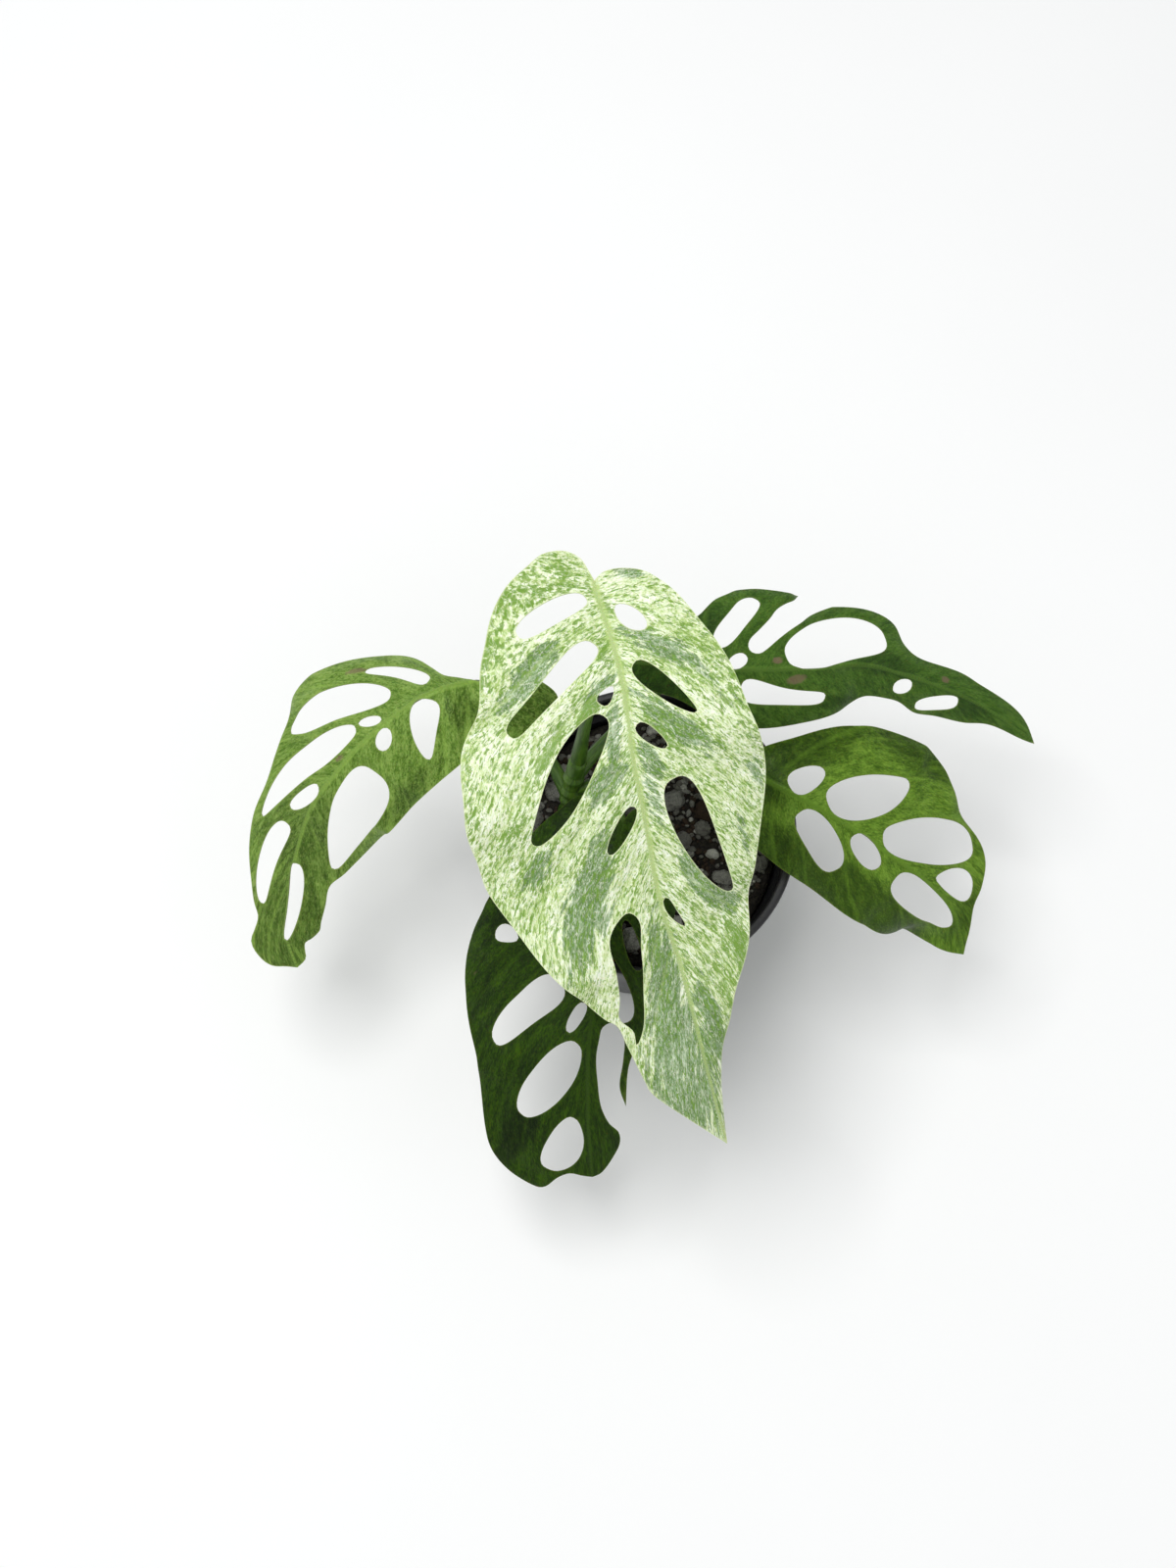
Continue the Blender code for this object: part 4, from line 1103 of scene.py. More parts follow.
    def _net(self, s: Shade, short: Socket) -> Socket:
        """Return the net of fine veins, broken here and there.

        Args:
            s: The material in the making.
            short: Places on the blade, little drawn out.

        Returns:
            How strongly the net shows.
        """
        wander = s.add("ShaderNodeTexNoise", {}, short)
        wander.inputs["Scale"].default_value = 0.9
        bent = s.add("ShaderNodeVectorMath", {"operation": "MULTIPLY_ADD"}, wander.outputs[1], None, short)
        bent.inputs[1].default_value = (1.6, 1.6, 0.0)
        lines = s.rise(s.cells(bent.outputs[0], 1.7, "DISTANCE_TO_EDGE"), 0.14, 0.01)
        return s.times(lines, s.rise(s.noise(short, 1.3, 2.0, 0.6), 0.38, 0.62))


FINISHES: dict[str, LeafFinish] = {
    "leaf_pale_top": LeafFinish(
        tones=((0.20, (246, 250, 232)), (0.38, (232, 241, 206)), (0.54, (212, 227, 174)),
               (0.72, (170, 198, 118))),
        sector_and_shade_tones=((0.24, (156, 182, 136)), (0.40, (116, 150, 104)), (0.56, (88, 124, 82)),
                      (0.76, (60, 96, 54))),
        patch=(112, 150, 58), fleck=(132, 166, 74), web=(243, 249, 226), rib=(182, 206, 124),
        rim=(222, 232, 184),
        under=(178, 200, 138), contrast=1.05, fleck_amount=0.88, fleck_at=0.50, fleck_edge=0.05, ragged=1.2,
        sector_and_shade_amount=0.75,
        patch_amount=0.7, web_amount=0.55, rib_width=1.25, rib_light=0.85, vein_light=0.3, roughness=0.42,
        seed=3.0),
    # The four green leaves' tones are their own greens with painted shade in them: each is set as dark as
    # that leaf looks in the shade under the pale leaf, and the front leaf is the darkest.
    "leaf_left": LeafFinish(
        tones=((0.30, (136, 166, 80)), (0.45, (118, 150, 64)), (0.58, (96, 130, 46)),
               (0.74, (70, 102, 28))),
        sector_and_shade_tones=((0.30, (92, 122, 46)), (0.50, (68, 96, 28)), (0.74, (44, 66, 12))),
        patch=(60, 92, 18), fleck=(84, 118, 32), web=(152, 176, 96), rib=(142, 176, 78), rim=(140, 166, 92),
        under=(128, 142, 74), contrast=0.9, fleck_amount=0.5, fleck_at=0.50, fleck_edge=0.18, ragged=0.5,
        sector_and_shade_amount=0.8,
        patch_amount=0.3, web_amount=0.4, rib_width=1.1, rib_light=0.75, vein_light=0.4, roughness=0.40,
        seed=11.0),
    "leaf_upper_right": LeafFinish(
        tones=((0.30, (80, 114, 38)), (0.45, (67, 100, 29)), (0.58, (52, 84, 20)), (0.74, (36, 64, 10))),
        sector_and_shade_tones=((0.30, (54, 86, 22)), (0.50, (38, 66, 12)), (0.74, (24, 46, 6))),
        patch=(34, 60, 10), fleck=(50, 80, 16), web=(96, 128, 52), rib=(92, 126, 46), rim=(100, 128, 62),
        under=(98, 122, 66), contrast=0.6, fleck_amount=0.25, fleck_at=0.50, fleck_edge=0.24, ragged=0.35,
        sector_and_shade_amount=0.85,
        patch_amount=0.2, web_amount=0.15, rib_width=1.0, rib_light=0.6, vein_light=0.3, roughness=0.38,
        seed=23.0),
    "leaf_right": LeafFinish(
        tones=((0.30, (118, 152, 52)), (0.45, (97, 132, 38)), (0.58, (76, 108, 24)), (0.74, (50, 80, 8))),
        sector_and_shade_tones=((0.30, (62, 92, 12)), (0.50, (42, 68, 2)), (0.74, (24, 46, 0))),
        patch=(44, 74, 6), fleck=(62, 94, 12), web=(112, 144, 50), rib=(104, 142, 40), rim=(108, 134, 56),
        under=(104, 130, 60), contrast=0.6, fleck_amount=0.25, fleck_at=0.50, fleck_edge=0.24, ragged=0.35,
        sector_and_shade_amount=0.85,
        patch_amount=0.2, web_amount=0.15, rib_width=1.1, rib_light=0.6, vein_light=0.3, roughness=0.38,
        seed=31.0),
    "leaf_front": LeafFinish(
        tones=((0.30, (52, 82, 0)), (0.45, (38, 64, 0)), (0.58, (26, 48, 0)), (0.74, (14, 32, 0))),
        sector_and_shade_tones=((0.30, (24, 44, 0)), (0.50, (14, 30, 0)), (0.74, (4, 18, 0))),
        patch=(14, 32, 0), fleck=(24, 46, 0), web=(72, 98, 22), rib=(60, 90, 10), rim=(76, 100, 34),
        under=(84, 108, 46), contrast=0.6, fleck_amount=0.25, fleck_at=0.50, fleck_edge=0.24, ragged=0.35,
        sector_and_shade_amount=0.9,
        patch_amount=0.2, web_amount=0.15, rib_width=1.1, rib_light=0.55, vein_light=0.25, roughness=0.38,
        seed=47.0),
}


@dataclass
class LeafPiece:
    """One finished blade, built from its table.

    Sizes are in millimetres. quilt, rib_above, rib_below and vein_below are each a height and the width that
    it falls off over. pucker holds the heights of coarse and fine unevenness, and rim_share is how thin the
    blade is at its edge; full_in from there it has its whole thickness. sink lowers the quilting as a whole,
    quilt_rise says how far out along a vein it starts and is full, and the fades are what the quilting, the
    rib and the veins lose towards the tip. share in the methods runs from 0 at the stalk to 1 at the tip.
    """

    leaf: Leaf
    thickness: float = 0.55
    rim_share: float = 0.45
    full_in: float = 1.4
    quilt: Pair = (0.75, 2.2)
    quilt_rise: Pair = (1.0, 8.0)
    quilt_fade: float = 0.5
    sink: float = 0.4
    pucker: Pair = (0.28, 0.1)
    pucker_scale: Pair = (0.13, 0.4)
    rib_fade: float = 0.65
    vein_fade: float = 0.6
    rib_above: Pair = (0.30, 1.1)
    rib_below: Pair = (0.80, 1.5)
    vein_below: Pair = (0.22, 0.9)
    sharp_angle: float = 60.0

    def __post_init__(self) -> None:
        """Lay out the blade's surface, veins and edges."""
        self.blade = Blade(self.leaf)
        self.field = VeinField(self.leaf)
        self.finish = FINISHES[self.leaf.name]
        self.loops = [outline_loop(self.leaf, EDGE_STEP)] + [hole.loop(EDGE_STEP) for hole in self.leaf.holes]

    def _grid(self) -> np.ndarray:
        """Return the inner points, closer together beside the midrib.

        Returns:
            The flat points, also those outside the outline.
        """
        low, high = self.loops[0].min(axis=0), self.loops[0].max(axis=0)
        rows = list(RIB_ROWS)
        while rows[-1] < max(high[1], -low[1]):
            rows.append(rows[-1] + GRID_STEP * ROW_SHARE)
        points = []
        for k, y in enumerate(rows):
            xs = np.arange(low[0] + GRID_STEP * (0.5 * (k % 2)), high[0], GRID_STEP)
            for side in ((1, -1) if k else (1,)):
                points.extend((x, side * y) for x in xs)
        return np.array(points)

    def _on_blade(self, points: np.ndarray) -> np.ndarray:
        """Tell which flat points lie inside the outline and outside every hole.

        Args:
            points: The flat points.

        Returns:
            True for each point on the blade.
        """
        keep = inside(points, self.loops[0])
        for loop in self.loops[1:]:
            keep &= ~inside(points, loop)
        return keep

    def flat(self) -> tuple[np.ndarray, np.ndarray]:
        """Return the points and triangles of the outline laid flat, with its holes left open.

        Returns:
            The flat points, and the triangles as numbers of the points.
        """
        border = np.vstack(self.loops)
        grid = self._grid()
        grid = grid[self._on_blade(grid)]
        grid = grid[nearest(grid, border) > 0.5 * GRID_STEP]
        edges, start = [], 0
        for loop in self.loops:
            n = len(loop)
            edges.extend((start + k, start + (k + 1) % n) for k in range(n))
            start += n
        points = [Vector(p) for p in np.vstack([border, grid])]
        verts, _, faces, *_ = delaunay_2d_cdt(points, edges, [], 0, 1e-6)
        flat = np.array([tuple(v) for v in verts])
        tris = np.array(list(faces), int)
        tris = tris[self._on_blade(flat[tris].mean(axis=1))]
        a, b, c = flat[tris[:, 0]], flat[tris[:, 1]], flat[tris[:, 2]]
        turn = (b[:, 0] - a[:, 0]) * (c[:, 1] - a[:, 1]) - (b[:, 1] - a[:, 1]) * (c[:, 0] - a[:, 0])
        tris[turn < 0] = tris[turn < 0][:, ::-1]
        used = np.unique(tris)
        order = np.full(len(flat), -1)
        order[used] = np.arange(len(used))
        return flat[used], order[tris]

    def _heights(self, flat: np.ndarray, out: np.ndarray, vein: np.ndarray,
                 edge: np.ndarray) -> tuple[np.ndarray, np.ndarray]:
        """Return how far the upper and lower faces lie above the middle surface.

        Args:
            flat: The flat points.
            out: How far each lies out along its vein.
            vein: Its distance to the nearest main vein.
            edge: Its distance to the nearest edge.

        Returns:
            The heights of the upper face and of the lower one.
        """
        x, wide = flat[:, 0], np.abs(flat[:, 1])
        share = np.clip(x / self.field.length, 0.0, 1.0)
        quilt = self.quilt[0] * (1.0 - bell(vein, self.quilt[1])) * smooth_step(out, *self.quilt_rise)
        seeds = (2.0 + len(self.leaf.holes), 9.0)
        pucker = sum(height * unevenness(flat, scale, seed)
                     for height, scale, seed in zip(self.pucker, self.pucker_scale, seeds))
        shift = (quilt * (1.0 - self.quilt_fade * share) - self.sink + pucker) * smooth_step(edge, 0.2, 4.0)
        thick = self.rim_share + (1.0 - self.rim_share) * smooth_step(edge, 0.0, self.full_in)
        thick = self.thickness * thick
        core = np.clip(1.0 - self.rib_fade * share, 0.0, 1.0) * smooth_step(x, -3.0, 2.0)
        above = self.rib_above[0] * core * bell(wide, self.rib_above[1])
        below = self.rib_below[0] * core * bell(wide, self.rib_below[1])
        fine = self.vein_below[0] * bell(vein, self.vein_below[1])
        below = below + fine * smooth_step(edge, 0.5, 3.0) * (1.0 - self.vein_fade * share)
        return thick / 2 + shift + above, shift - thick / 2 - below

    def build(self) -> bpy.types.Object:
        """Return the finished blade with its attributes and material.

        Returns:
            The blade's object.
        """
        flat, tris = self.flat()
        x, y = flat[:, 0], flat[:, 1]
        side = np.where(y < 0, -1.0, 1.0)
        out, gauge = self.field.trace(x, y)
        vein = self.field.offset(gauge, side)
        edge = nearest(flat, np.vstack([smooth_loop(loop, FINE_EDGE_STEP) for loop in self.loops]))
        middle, normal = self.blade.point(x, y), self.blade.normal(x, y)
        top, low = (middle + normal * height[:, None] for height in self._heights(flat, out, vein, edge))
        n = len(flat)
        directed = {(a, b) for tri in tris.tolist() for a, b in zip(tri, tri[1:] + tri[:1])}
        rim = sorted((a, b) for a, b in directed if (b, a) not in directed)
        faces = tris.tolist() + (tris[:, ::-1] + n).tolist() + [[a, a + n, b + n, b] for a, b in rim]
        mesh = mesh_from(f"fine_{self.leaf.name}", np.vstack([top, low]), faces)
        flow = np.stack([out, gauge, side], axis=-1)
        mark = np.stack([edge, vein, smooth_step(out, 2.0, 7.0)], axis=-1)
        self._store(mesh, flat, flow, mark)
        mesh.materials.append(self.finish.material(f"{self.leaf.name} surface"))
        mesh.shade_smooth()
        mesh.set_sharp_from_angle(angle=math.radians(self.sharp_angle))
        return new_object(mesh.name, mesh)

    def _store(self, mesh: bpy.types.Mesh, flat: np.ndarray, flow: np.ndarray, mark: np.ndarray) -> None:
        """Store what the material reads, for the upper face's points and then the lower's.

        Args:
            mesh: The blade's mesh.
            flat: The flat points.
            flow: For each: how far out along its vein, the vein's gauge, and the side.
            mark: For each: distance to the edge, distance to a main vein, and how clear of the midrib.
        """
        x, y = flat[:, 0], flat[:, 1]
        tone = np.stack([patch_amount(PATCHES[self.leaf.name], kind, x, y) for kind in Tone], axis=-1)
        half = self.finish.rib_width * (1.0 - 0.75 * np.clip(x / self.field.length, 0.0, 1.0)) + 0.2
        place = [np.stack([x, np.abs(y) / half, np.full_like(x, face.value)], axis=-1) for face in Side]
        for name, rows in (("flow", flow), ("tone", tone), ("mark", mark)):
            add_vectors(mesh, name, np.vstack([rows, rows]))
        add_vectors(mesh, "place", np.vstack(place))


def smooth_loop(loop: np.ndarray, step: float) -> np.ndarray:
    """Return a closed loop again with points at a closer step."""
    closed = np.vstack([loop, loop[:1]])
    return evenly(closed, max(8, round(lengths_along(closed)[-1] / step)))


class Growth:
    """A Geometry Nodes tree built step by step, whose result is turned into a plain mesh."""

    def __init__(self, name: str) -> None:
        """Start a tree with a geometry input and output.

        Args:
            name: Name of the tree.
        """
        self.tree = bpy.data.node_groups.new(name, "GeometryNodeTree")
        for way in ("INPUT", "OUTPUT"):
            self.tree.interface.new_socket("Geometry", in_out=way, socket_type="NodeSocketGeometry")
        self.start = self.tree.nodes.new("NodeGroupInput")
        self.end = self.tree.nodes.new("NodeGroupOutput")
        self.values: dict[str, object] = {}

    def entry(self, name: str, kind: str, value: object) -> Socket:
        """Add a named input with the value it takes, and return its socket.

        Args:
            name: Name of the input.
            kind: Type of its socket.
            value: What it takes.

        Returns:
            The socket to link from.
        """
        socket = self.tree.interface.new_socket(name, in_out="INPUT", socket_type=kind)
        self.values[socket.identifier] = value
        return self.start.outputs[name]

    def add(self, kind: str, settings: dict | None = None, **links: Value) -> bpy.types.Node:
        """Add a node.

        Args:
            kind: Its type.
            settings: Its options.
            links: What its inputs take, by name with _ for a space.

        Returns:
            The node.
        """
        node = self.tree.nodes.new(kind)
        for key, value in (settings or {}).items():
            setattr(node, key, value)
        for key, value in links.items():
            socket = node.inputs[key.replace("_", " ")]
            if isinstance(value, bpy.types.NodeSocket):
                self.tree.links.new(value, socket)
            else:
                socket.default_value = value
        return node

    def grow(self, base: bpy.types.Object, geometry: Socket, material: bpy.types.Material,
             name: str) -> bpy.types.Mesh:
        """Run the tree on an object and return its result as a plain mesh.

        Args:
            base: The object whose mesh the tree starts from; it is removed.
            geometry: The last geometry socket of the tree.
            material: The material set on the result.
            name: Name of the mesh.

        Returns:
            The plain mesh.
        """
        real = self.add("GeometryNodeRealizeInstances", Geometry=geometry).outputs[0]
        slot = self.entry("Material", "NodeSocketMaterial", material)
        painted = self.add("GeometryNodeSetMaterial", Geometry=real, Material=slot).outputs[0]
        self.tree.links.new(painted, self.end.inputs[0])
        modifier = base.modifiers.new(name, "NODES")
        modifier.node_group = self.tree
        for identifier, value in self.values.items():
            modifier[identifier] = value
        bpy.context.view_layer.update()
        result = base.evaluated_get(bpy.context.evaluated_depsgraph_get())
        mesh = bpy.data.meshes.new_from_object(result)
        mesh.name = name
        bpy.data.objects.remove(base)
        return mesh


@dataclass(frozen=True)
class VineSkin:
    """Green skin with fine paler lines and small dark dots, its greens darkened into painted shade."""

    # dark and light are set below the stem's own mid-green as painted shade, as deep as the stalks look under
    # the leaves.
    dark: Triple = (46, 78, 12)
    light: Triple = (74, 108, 24)
    line: Triple = (100, 136, 48)
    dot: Triple = (46, 74, 16)

    def material(self) -> bpy.types.Material:
        """Return the material of the stem and its stalks.

        Returns:
            The finished material.
        """
        s = Shade("vine skin")
        length = s.split(s.read("along"))[0]
        x, y, _ = s.split(s.read("around"))
        broad = s.noise(s.join((length, x, y), (0.07, 1, 1)), 1.2, 3.0, 0.6)
        lines = s.noise(s.join((length, x, y), (0.12, 2.4, 2.4)), 2.2, 3.0, 0.65)
        dots = s.noise(s.join((length, x, y), (0.9, 3.0, 3.0)), 1.6, 2.0)
        colour = s.blend(s.rise(broad, 0.35, 0.65), self.dark, self.light)
        colour = s.blend(s.rise(lines, 0.48, 0.66, 0.5), colour, self.line)
        colour = s.blend(s.rise(dots, 0.66, 0.74, 0.5), colour, self.dot)
        rough = s.fused(lines, 0.2, 0.32)
        return s.finish(colour, rough, s.bump(lines, 0.4, 0.0002), Specular_IOR_Level=0.45,
                        Subsurface_Weight=0.06, Subsurface_Scale=0.002)


def path_object(path: np.ndarray, radii: np.ndarray) -> bpy.types.Object:
    """Return an object with one open line of points that carry their radius and length.

    Args:
        path: The points of the line in millimetres.
        radii: The radius at each of them.

    Returns:
        The object.
    """
    mesh = bpy.data.meshes.new("line")
    edges = [(k, k + 1) for k in range(len(path) - 1)]
    mesh.from_pydata((path * MM).tolist(), edges, [])
    for name, row in (("radius", radii * MM), ("along", lengths_along(path))):
        mesh.attributes.new(name, "FLOAT", "POINT").data.foreach_set("value", np.asarray(row, np.float32))
    return new_object("line", mesh)


@dataclass(frozen=True)
class Vine:
    """The climbing stem with the five leaf stalks grown out of it. Sizes are in millimetres.

    rises are the stem's points: two shifts from its foot and a height. node_swelling, node_ring and
    neck_swelling are a height and a width, the width as a share of the length. ring_at is how far above its
    node a ring lies. taper and end_draw are what the stem and a stalk's end lose in thickness, as a share and
    in millimetres, and base_reach is how far up a stalk its thick base goes, as a share. seat is how far
    along the blade a stalk ends, and how far below it.
    """

    foot: Pair = (-25.8, 3.1)
    rises: tuple[Triple, ...] = ((0.0, 0.0, 48.0 + GAP), (0.0, 0.0, 60.0), (0.0, 0.0, 70.0), (0.0, 0.0, 78.0),
                                 (0.6, 3.0, 86.0), (1.4, 7.0, 94.0), (2.6, 11.0, 102.0), (4.0, 14.0, 109.0))
    radius: float = 3.3
    taper: float = 0.12
    stem_points: int = 150
    first_node: float = 0.45
    node_swelling: Pair = (0.5, 0.018)
    node_ring: Pair = (-0.28, 0.006)
    ring_at: float = 0.03
    stalk_radius: float = 1.6
    stalk_base_radius: float = 2.5
    base_reach: float = 0.22
    end_draw: float = 0.75
    stalk_points: int = 90
    neck_swelling: Pair = (0.32, 0.06)
    neck_at: float = 0.88
    seat: Pair = (2.5, 0.9)
    sides: int = 28
    groove: float = 0.3
    skin: VineSkin = VineSkin()

    def node_share(self, leaf: Leaf) -> float:
        """Return how far up the stem a leaf's stalk leaves it, as a share of its length."""
        return self.first_node + (1.0 - self.first_node) * leaf.node_at

    def line(self) -> np.ndarray:
        """Return the middle line of the stem, from its foot in the mix to its top."""
        x, y = self.foot
        return evenly(curve_through([(x + dx, y + dy, z) for dx, dy, z in self.rises]), self.stem_points)

    def stem_radii(self) -> np.ndarray:
        """Return the stem's radii: even, with a ringed swelling at each node and a drawn-in top.

        Returns:
            The radius at each point of the stem's line.
        """
        share = np.linspace(0.0, 1.0, self.stem_points)
        radii = self.radius * (1.0 - self.taper * share)
        for leaf in LEAVES:
            off = share - self.node_share(leaf)
            radii = radii + self.node_swelling[0] * bell(off, self.node_swelling[1])
            radii = radii + self.node_ring[0] * bell(off - self.ring_at, self.node_ring[1])
        return radii * np.clip((1.02 - share) / 0.06, 0.35, 1.0)

    def stalk(self, leaf: Leaf, line: np.ndarray) -> tuple[np.ndarray, np.ndarray]:
        """Lay out one stalk, from inside the stem to just below the blade.

        Args:
            leaf: The leaf it carries.
            line: The middle line of the stem.

        Returns:
            Its middle line and its radii.
        """
        at, share = self.node_share(leaf), np.linspace(0.0, 1.0, len(line))
        root = np.array([np.interp(at, share, line[:, k]) for k in range(3)])
        blade, (along, below) = Blade(leaf), self.seat
        seat = blade.point(along, 0.0) - blade.normal(along, 0.0) * below
        path = evenly(curve_through([root, *leaf.stalk, seat]), self.stalk_points)
        share = np.linspace(0.0, 1.0, self.stalk_points)
        base = self.stalk_base_radius - self.stalk_radius
        radii = self.stalk_radius + base * bell(share, self.base_reach)
        radii = radii + self.neck_swelling[0] * bell(share - self.neck_at, self.neck_swelling[1])
        return path, radii - self.end_draw * smooth_step(share, 0.93, 1.0)

    def tube(self, path: np.ndarray, radii: np.ndarray, groove: float, material: bpy.types.Material,
             name: str) -> bpy.types.Mesh:
        """Return a tube grown along a path, with a shallow groove down one side.

        Args:
            path: Points of the middle line.
            radii: Radius at each point.
            groove: Depth of the groove as a share of the radius.
            material: Its material.
            name: Name of the mesh.

        Returns:
            The plain mesh.
        """
        g = Growth(name)
        sides = g.entry("Sides", "NodeSocketInt", self.sides)
        depth = g.entry("Groove", "NodeSocketFloat", groove)
        line = g.add("GeometryNodeMeshToCurve", Mesh=g.start.outputs[0]).outputs[0]
        ring = g.add("GeometryNodeCurvePrimitiveCircle", Resolution=sides, Radius=1.0).outputs[0]
        place = g.add("GeometryNodeInputPosition").outputs[0]
        parts = g.add("ShaderNodeSeparateXYZ", Vector=place)
        near = g.add("ShaderNodeMapRange", {"interpolation_type": "SMOOTHSTEP"}, Value=parts.outputs[1])
        for key, value in (("From Min", 0.72), ("From Max", 1.0), ("To Max", -1.0)):
            near.inputs[key].default_value = value
        dent = g.add("ShaderNodeMath", {"operation": "MULTIPLY"})
        g.tree.links.new(near.outputs[0], dent.inputs[0])
        g.tree.links.new(depth, dent.inputs[1])
        offset = g.add("ShaderNodeCombineXYZ", Y=dent.outputs[0]).outputs[0]
        ring = g.add("GeometryNodeSetPosition", Geometry=ring, Offset=offset).outputs[0]
        stored = {"data_type": "FLOAT_VECTOR", "domain": "POINT"}
        ring = g.add("GeometryNodeStoreNamedAttribute", stored, Geometry=ring, Name="around", Value=place)
        radius = g.add("GeometryNodeInputNamedAttribute", {"data_type": "FLOAT"}, Name="radius")
        tube = g.add("GeometryNodeCurveToMesh", Curve=line, Profile_Curve=ring.outputs[0],
                     Scale=radius.outputs[0], Fill_Caps=True)
        smooth = g.add("GeometryNodeSetShadeSmooth", Geometry=tube.outputs[0]).outputs[0]
        return g.grow(path_object(path, radii), smooth, material, name)

    def build(self) -> bpy.types.Object:
        """Return the stem and its stalks as one finished piece.

        Returns:
            The object of the whole growth.
        """
        material, line = self.skin.material(), self.line()
        meshes = [self.tube(line, self.stem_radii(), 0.0, material, "vine")]
        for leaf in LEAVES:
            path, radii = self.stalk(leaf, line)
            meshes.append(self.tube(path, radii, self.groove, material, f"stalk_of_{leaf.name}"))
        return merged("fine_stems", meshes)


def turned(profile: list[Pair], sides: int) -> tuple[list, list]:
    """Sweep a profile round the upright axis.

    Args:
        profile: (radius, height) points that start and end on the axis.
        sides: Steps round the axis.

    Returns:
        The points and faces of the closed surface.
    """
    points = [(0.0, 0.0, profile[0][1])]
    angles = [2 * math.pi * k / sides for k in range(sides)]
    for radius, height in profile[1:-1]:
        points.extend((radius * math.cos(a), radius * math.sin(a), height) for a in angles)
    points.append((0.0, 0.0, profile[-1][1]))
    steps = [(k, (k + 1) % sides) for k in range(sides)]
    faces = [(0, 1 + after, 1 + k) for k, after in steps]
    for ring in range(len(profile) - 3):
        low, high = 1 + ring * sides, 1 + (ring + 1) * sides
        faces.extend((low + k, low + after, high + after, high + k) for k, after in steps)
    top = 1 + (len(profile) - 3) * sides
    faces.extend((len(points) - 1, top + k, top + after) for k, after in steps)
    return points, faces


def rounded(profile: list[Pair], radius: float) -> list[Pair]:
    """Return a profile whose inner corners are cut into small arcs of about the given radius.

    Args:
        profile: The points of the profile.
        radius: How far from its corner an arc starts.

    Returns:
        The points with the arcs.
    """
    p = [np.array(q, float) for q in profile]
    out = [p[0]]
    for before, here, after in zip(p, p[1:], p[2:]):
        to_before, to_after = before - here, after - here
        a, b = np.linalg.norm(to_before), np.linalg.norm(to_after)
        cut = min(radius, 0.4 * a, 0.4 * b)
        start, end = here + to_before / a * cut, here + to_after / b * cut
        for t in (0.0, 0.33, 0.67, 1.0):
            out.append((1 - t) ** 2 * start + 2 * t * (1 - t) * here + t * t * end)
    return [tuple(q) for q in out + [p[-1]]]


@dataclass(frozen=True)
class PotPlastic:
    """Black moulded plastic with fine scuffs, a satin haze and a little dried dust."""

    dark: Triple = (17, 17, 19)
    worn: Triple = (26, 26, 29)
    dust: Triple = (96, 90, 82)
    scuff: Triple = (82, 82, 86)

    def material(self) -> bpy.types.Material:
        """Return the material of the pot.

        Returns:
            The finished material.
        """
        s = Shade("black moulded plastic")
        mm = s.millimetres()
        xyz = tuple(s.split(mm))
        haze = s.noise(mm, 0.05, 4.0, 0.6)
        streaks = s.noise(s.join(xyz, (1, 1, 0.12)), 0.45, 4.0, 0.65)
        dust = s.times(s.rise(haze, 0.48, 0.72), s.rise(streaks, 0.45, 0.7))
        scuff = s.rise(s.noise(s.join(xyz, (0.3, 0.3, 4.0)), 0.8, 4.0, 0.7), 0.62, 0.7)
        colour = s.blend(s.rise(haze, 0.3, 0.7), self.dark, self.worn)
        colour = s.blend(s.times(dust, 0.28), colour, self.dust)
        colour = s.blend(s.times(scuff, 0.22), colour, self.scuff)
        rough = s.plus(s.fused(haze, 0.2, 0.27), s.times(dust, 0.3))
        grain = s.noise(mm, 3.2, 3.0, 0.6)
        normal = s.bump(grain, 0.18, 0.0001, s.bump(streaks, 0.12, 0.0003))
        return s.finish(colour, rough, normal, Specular_IOR_Level=0.5)


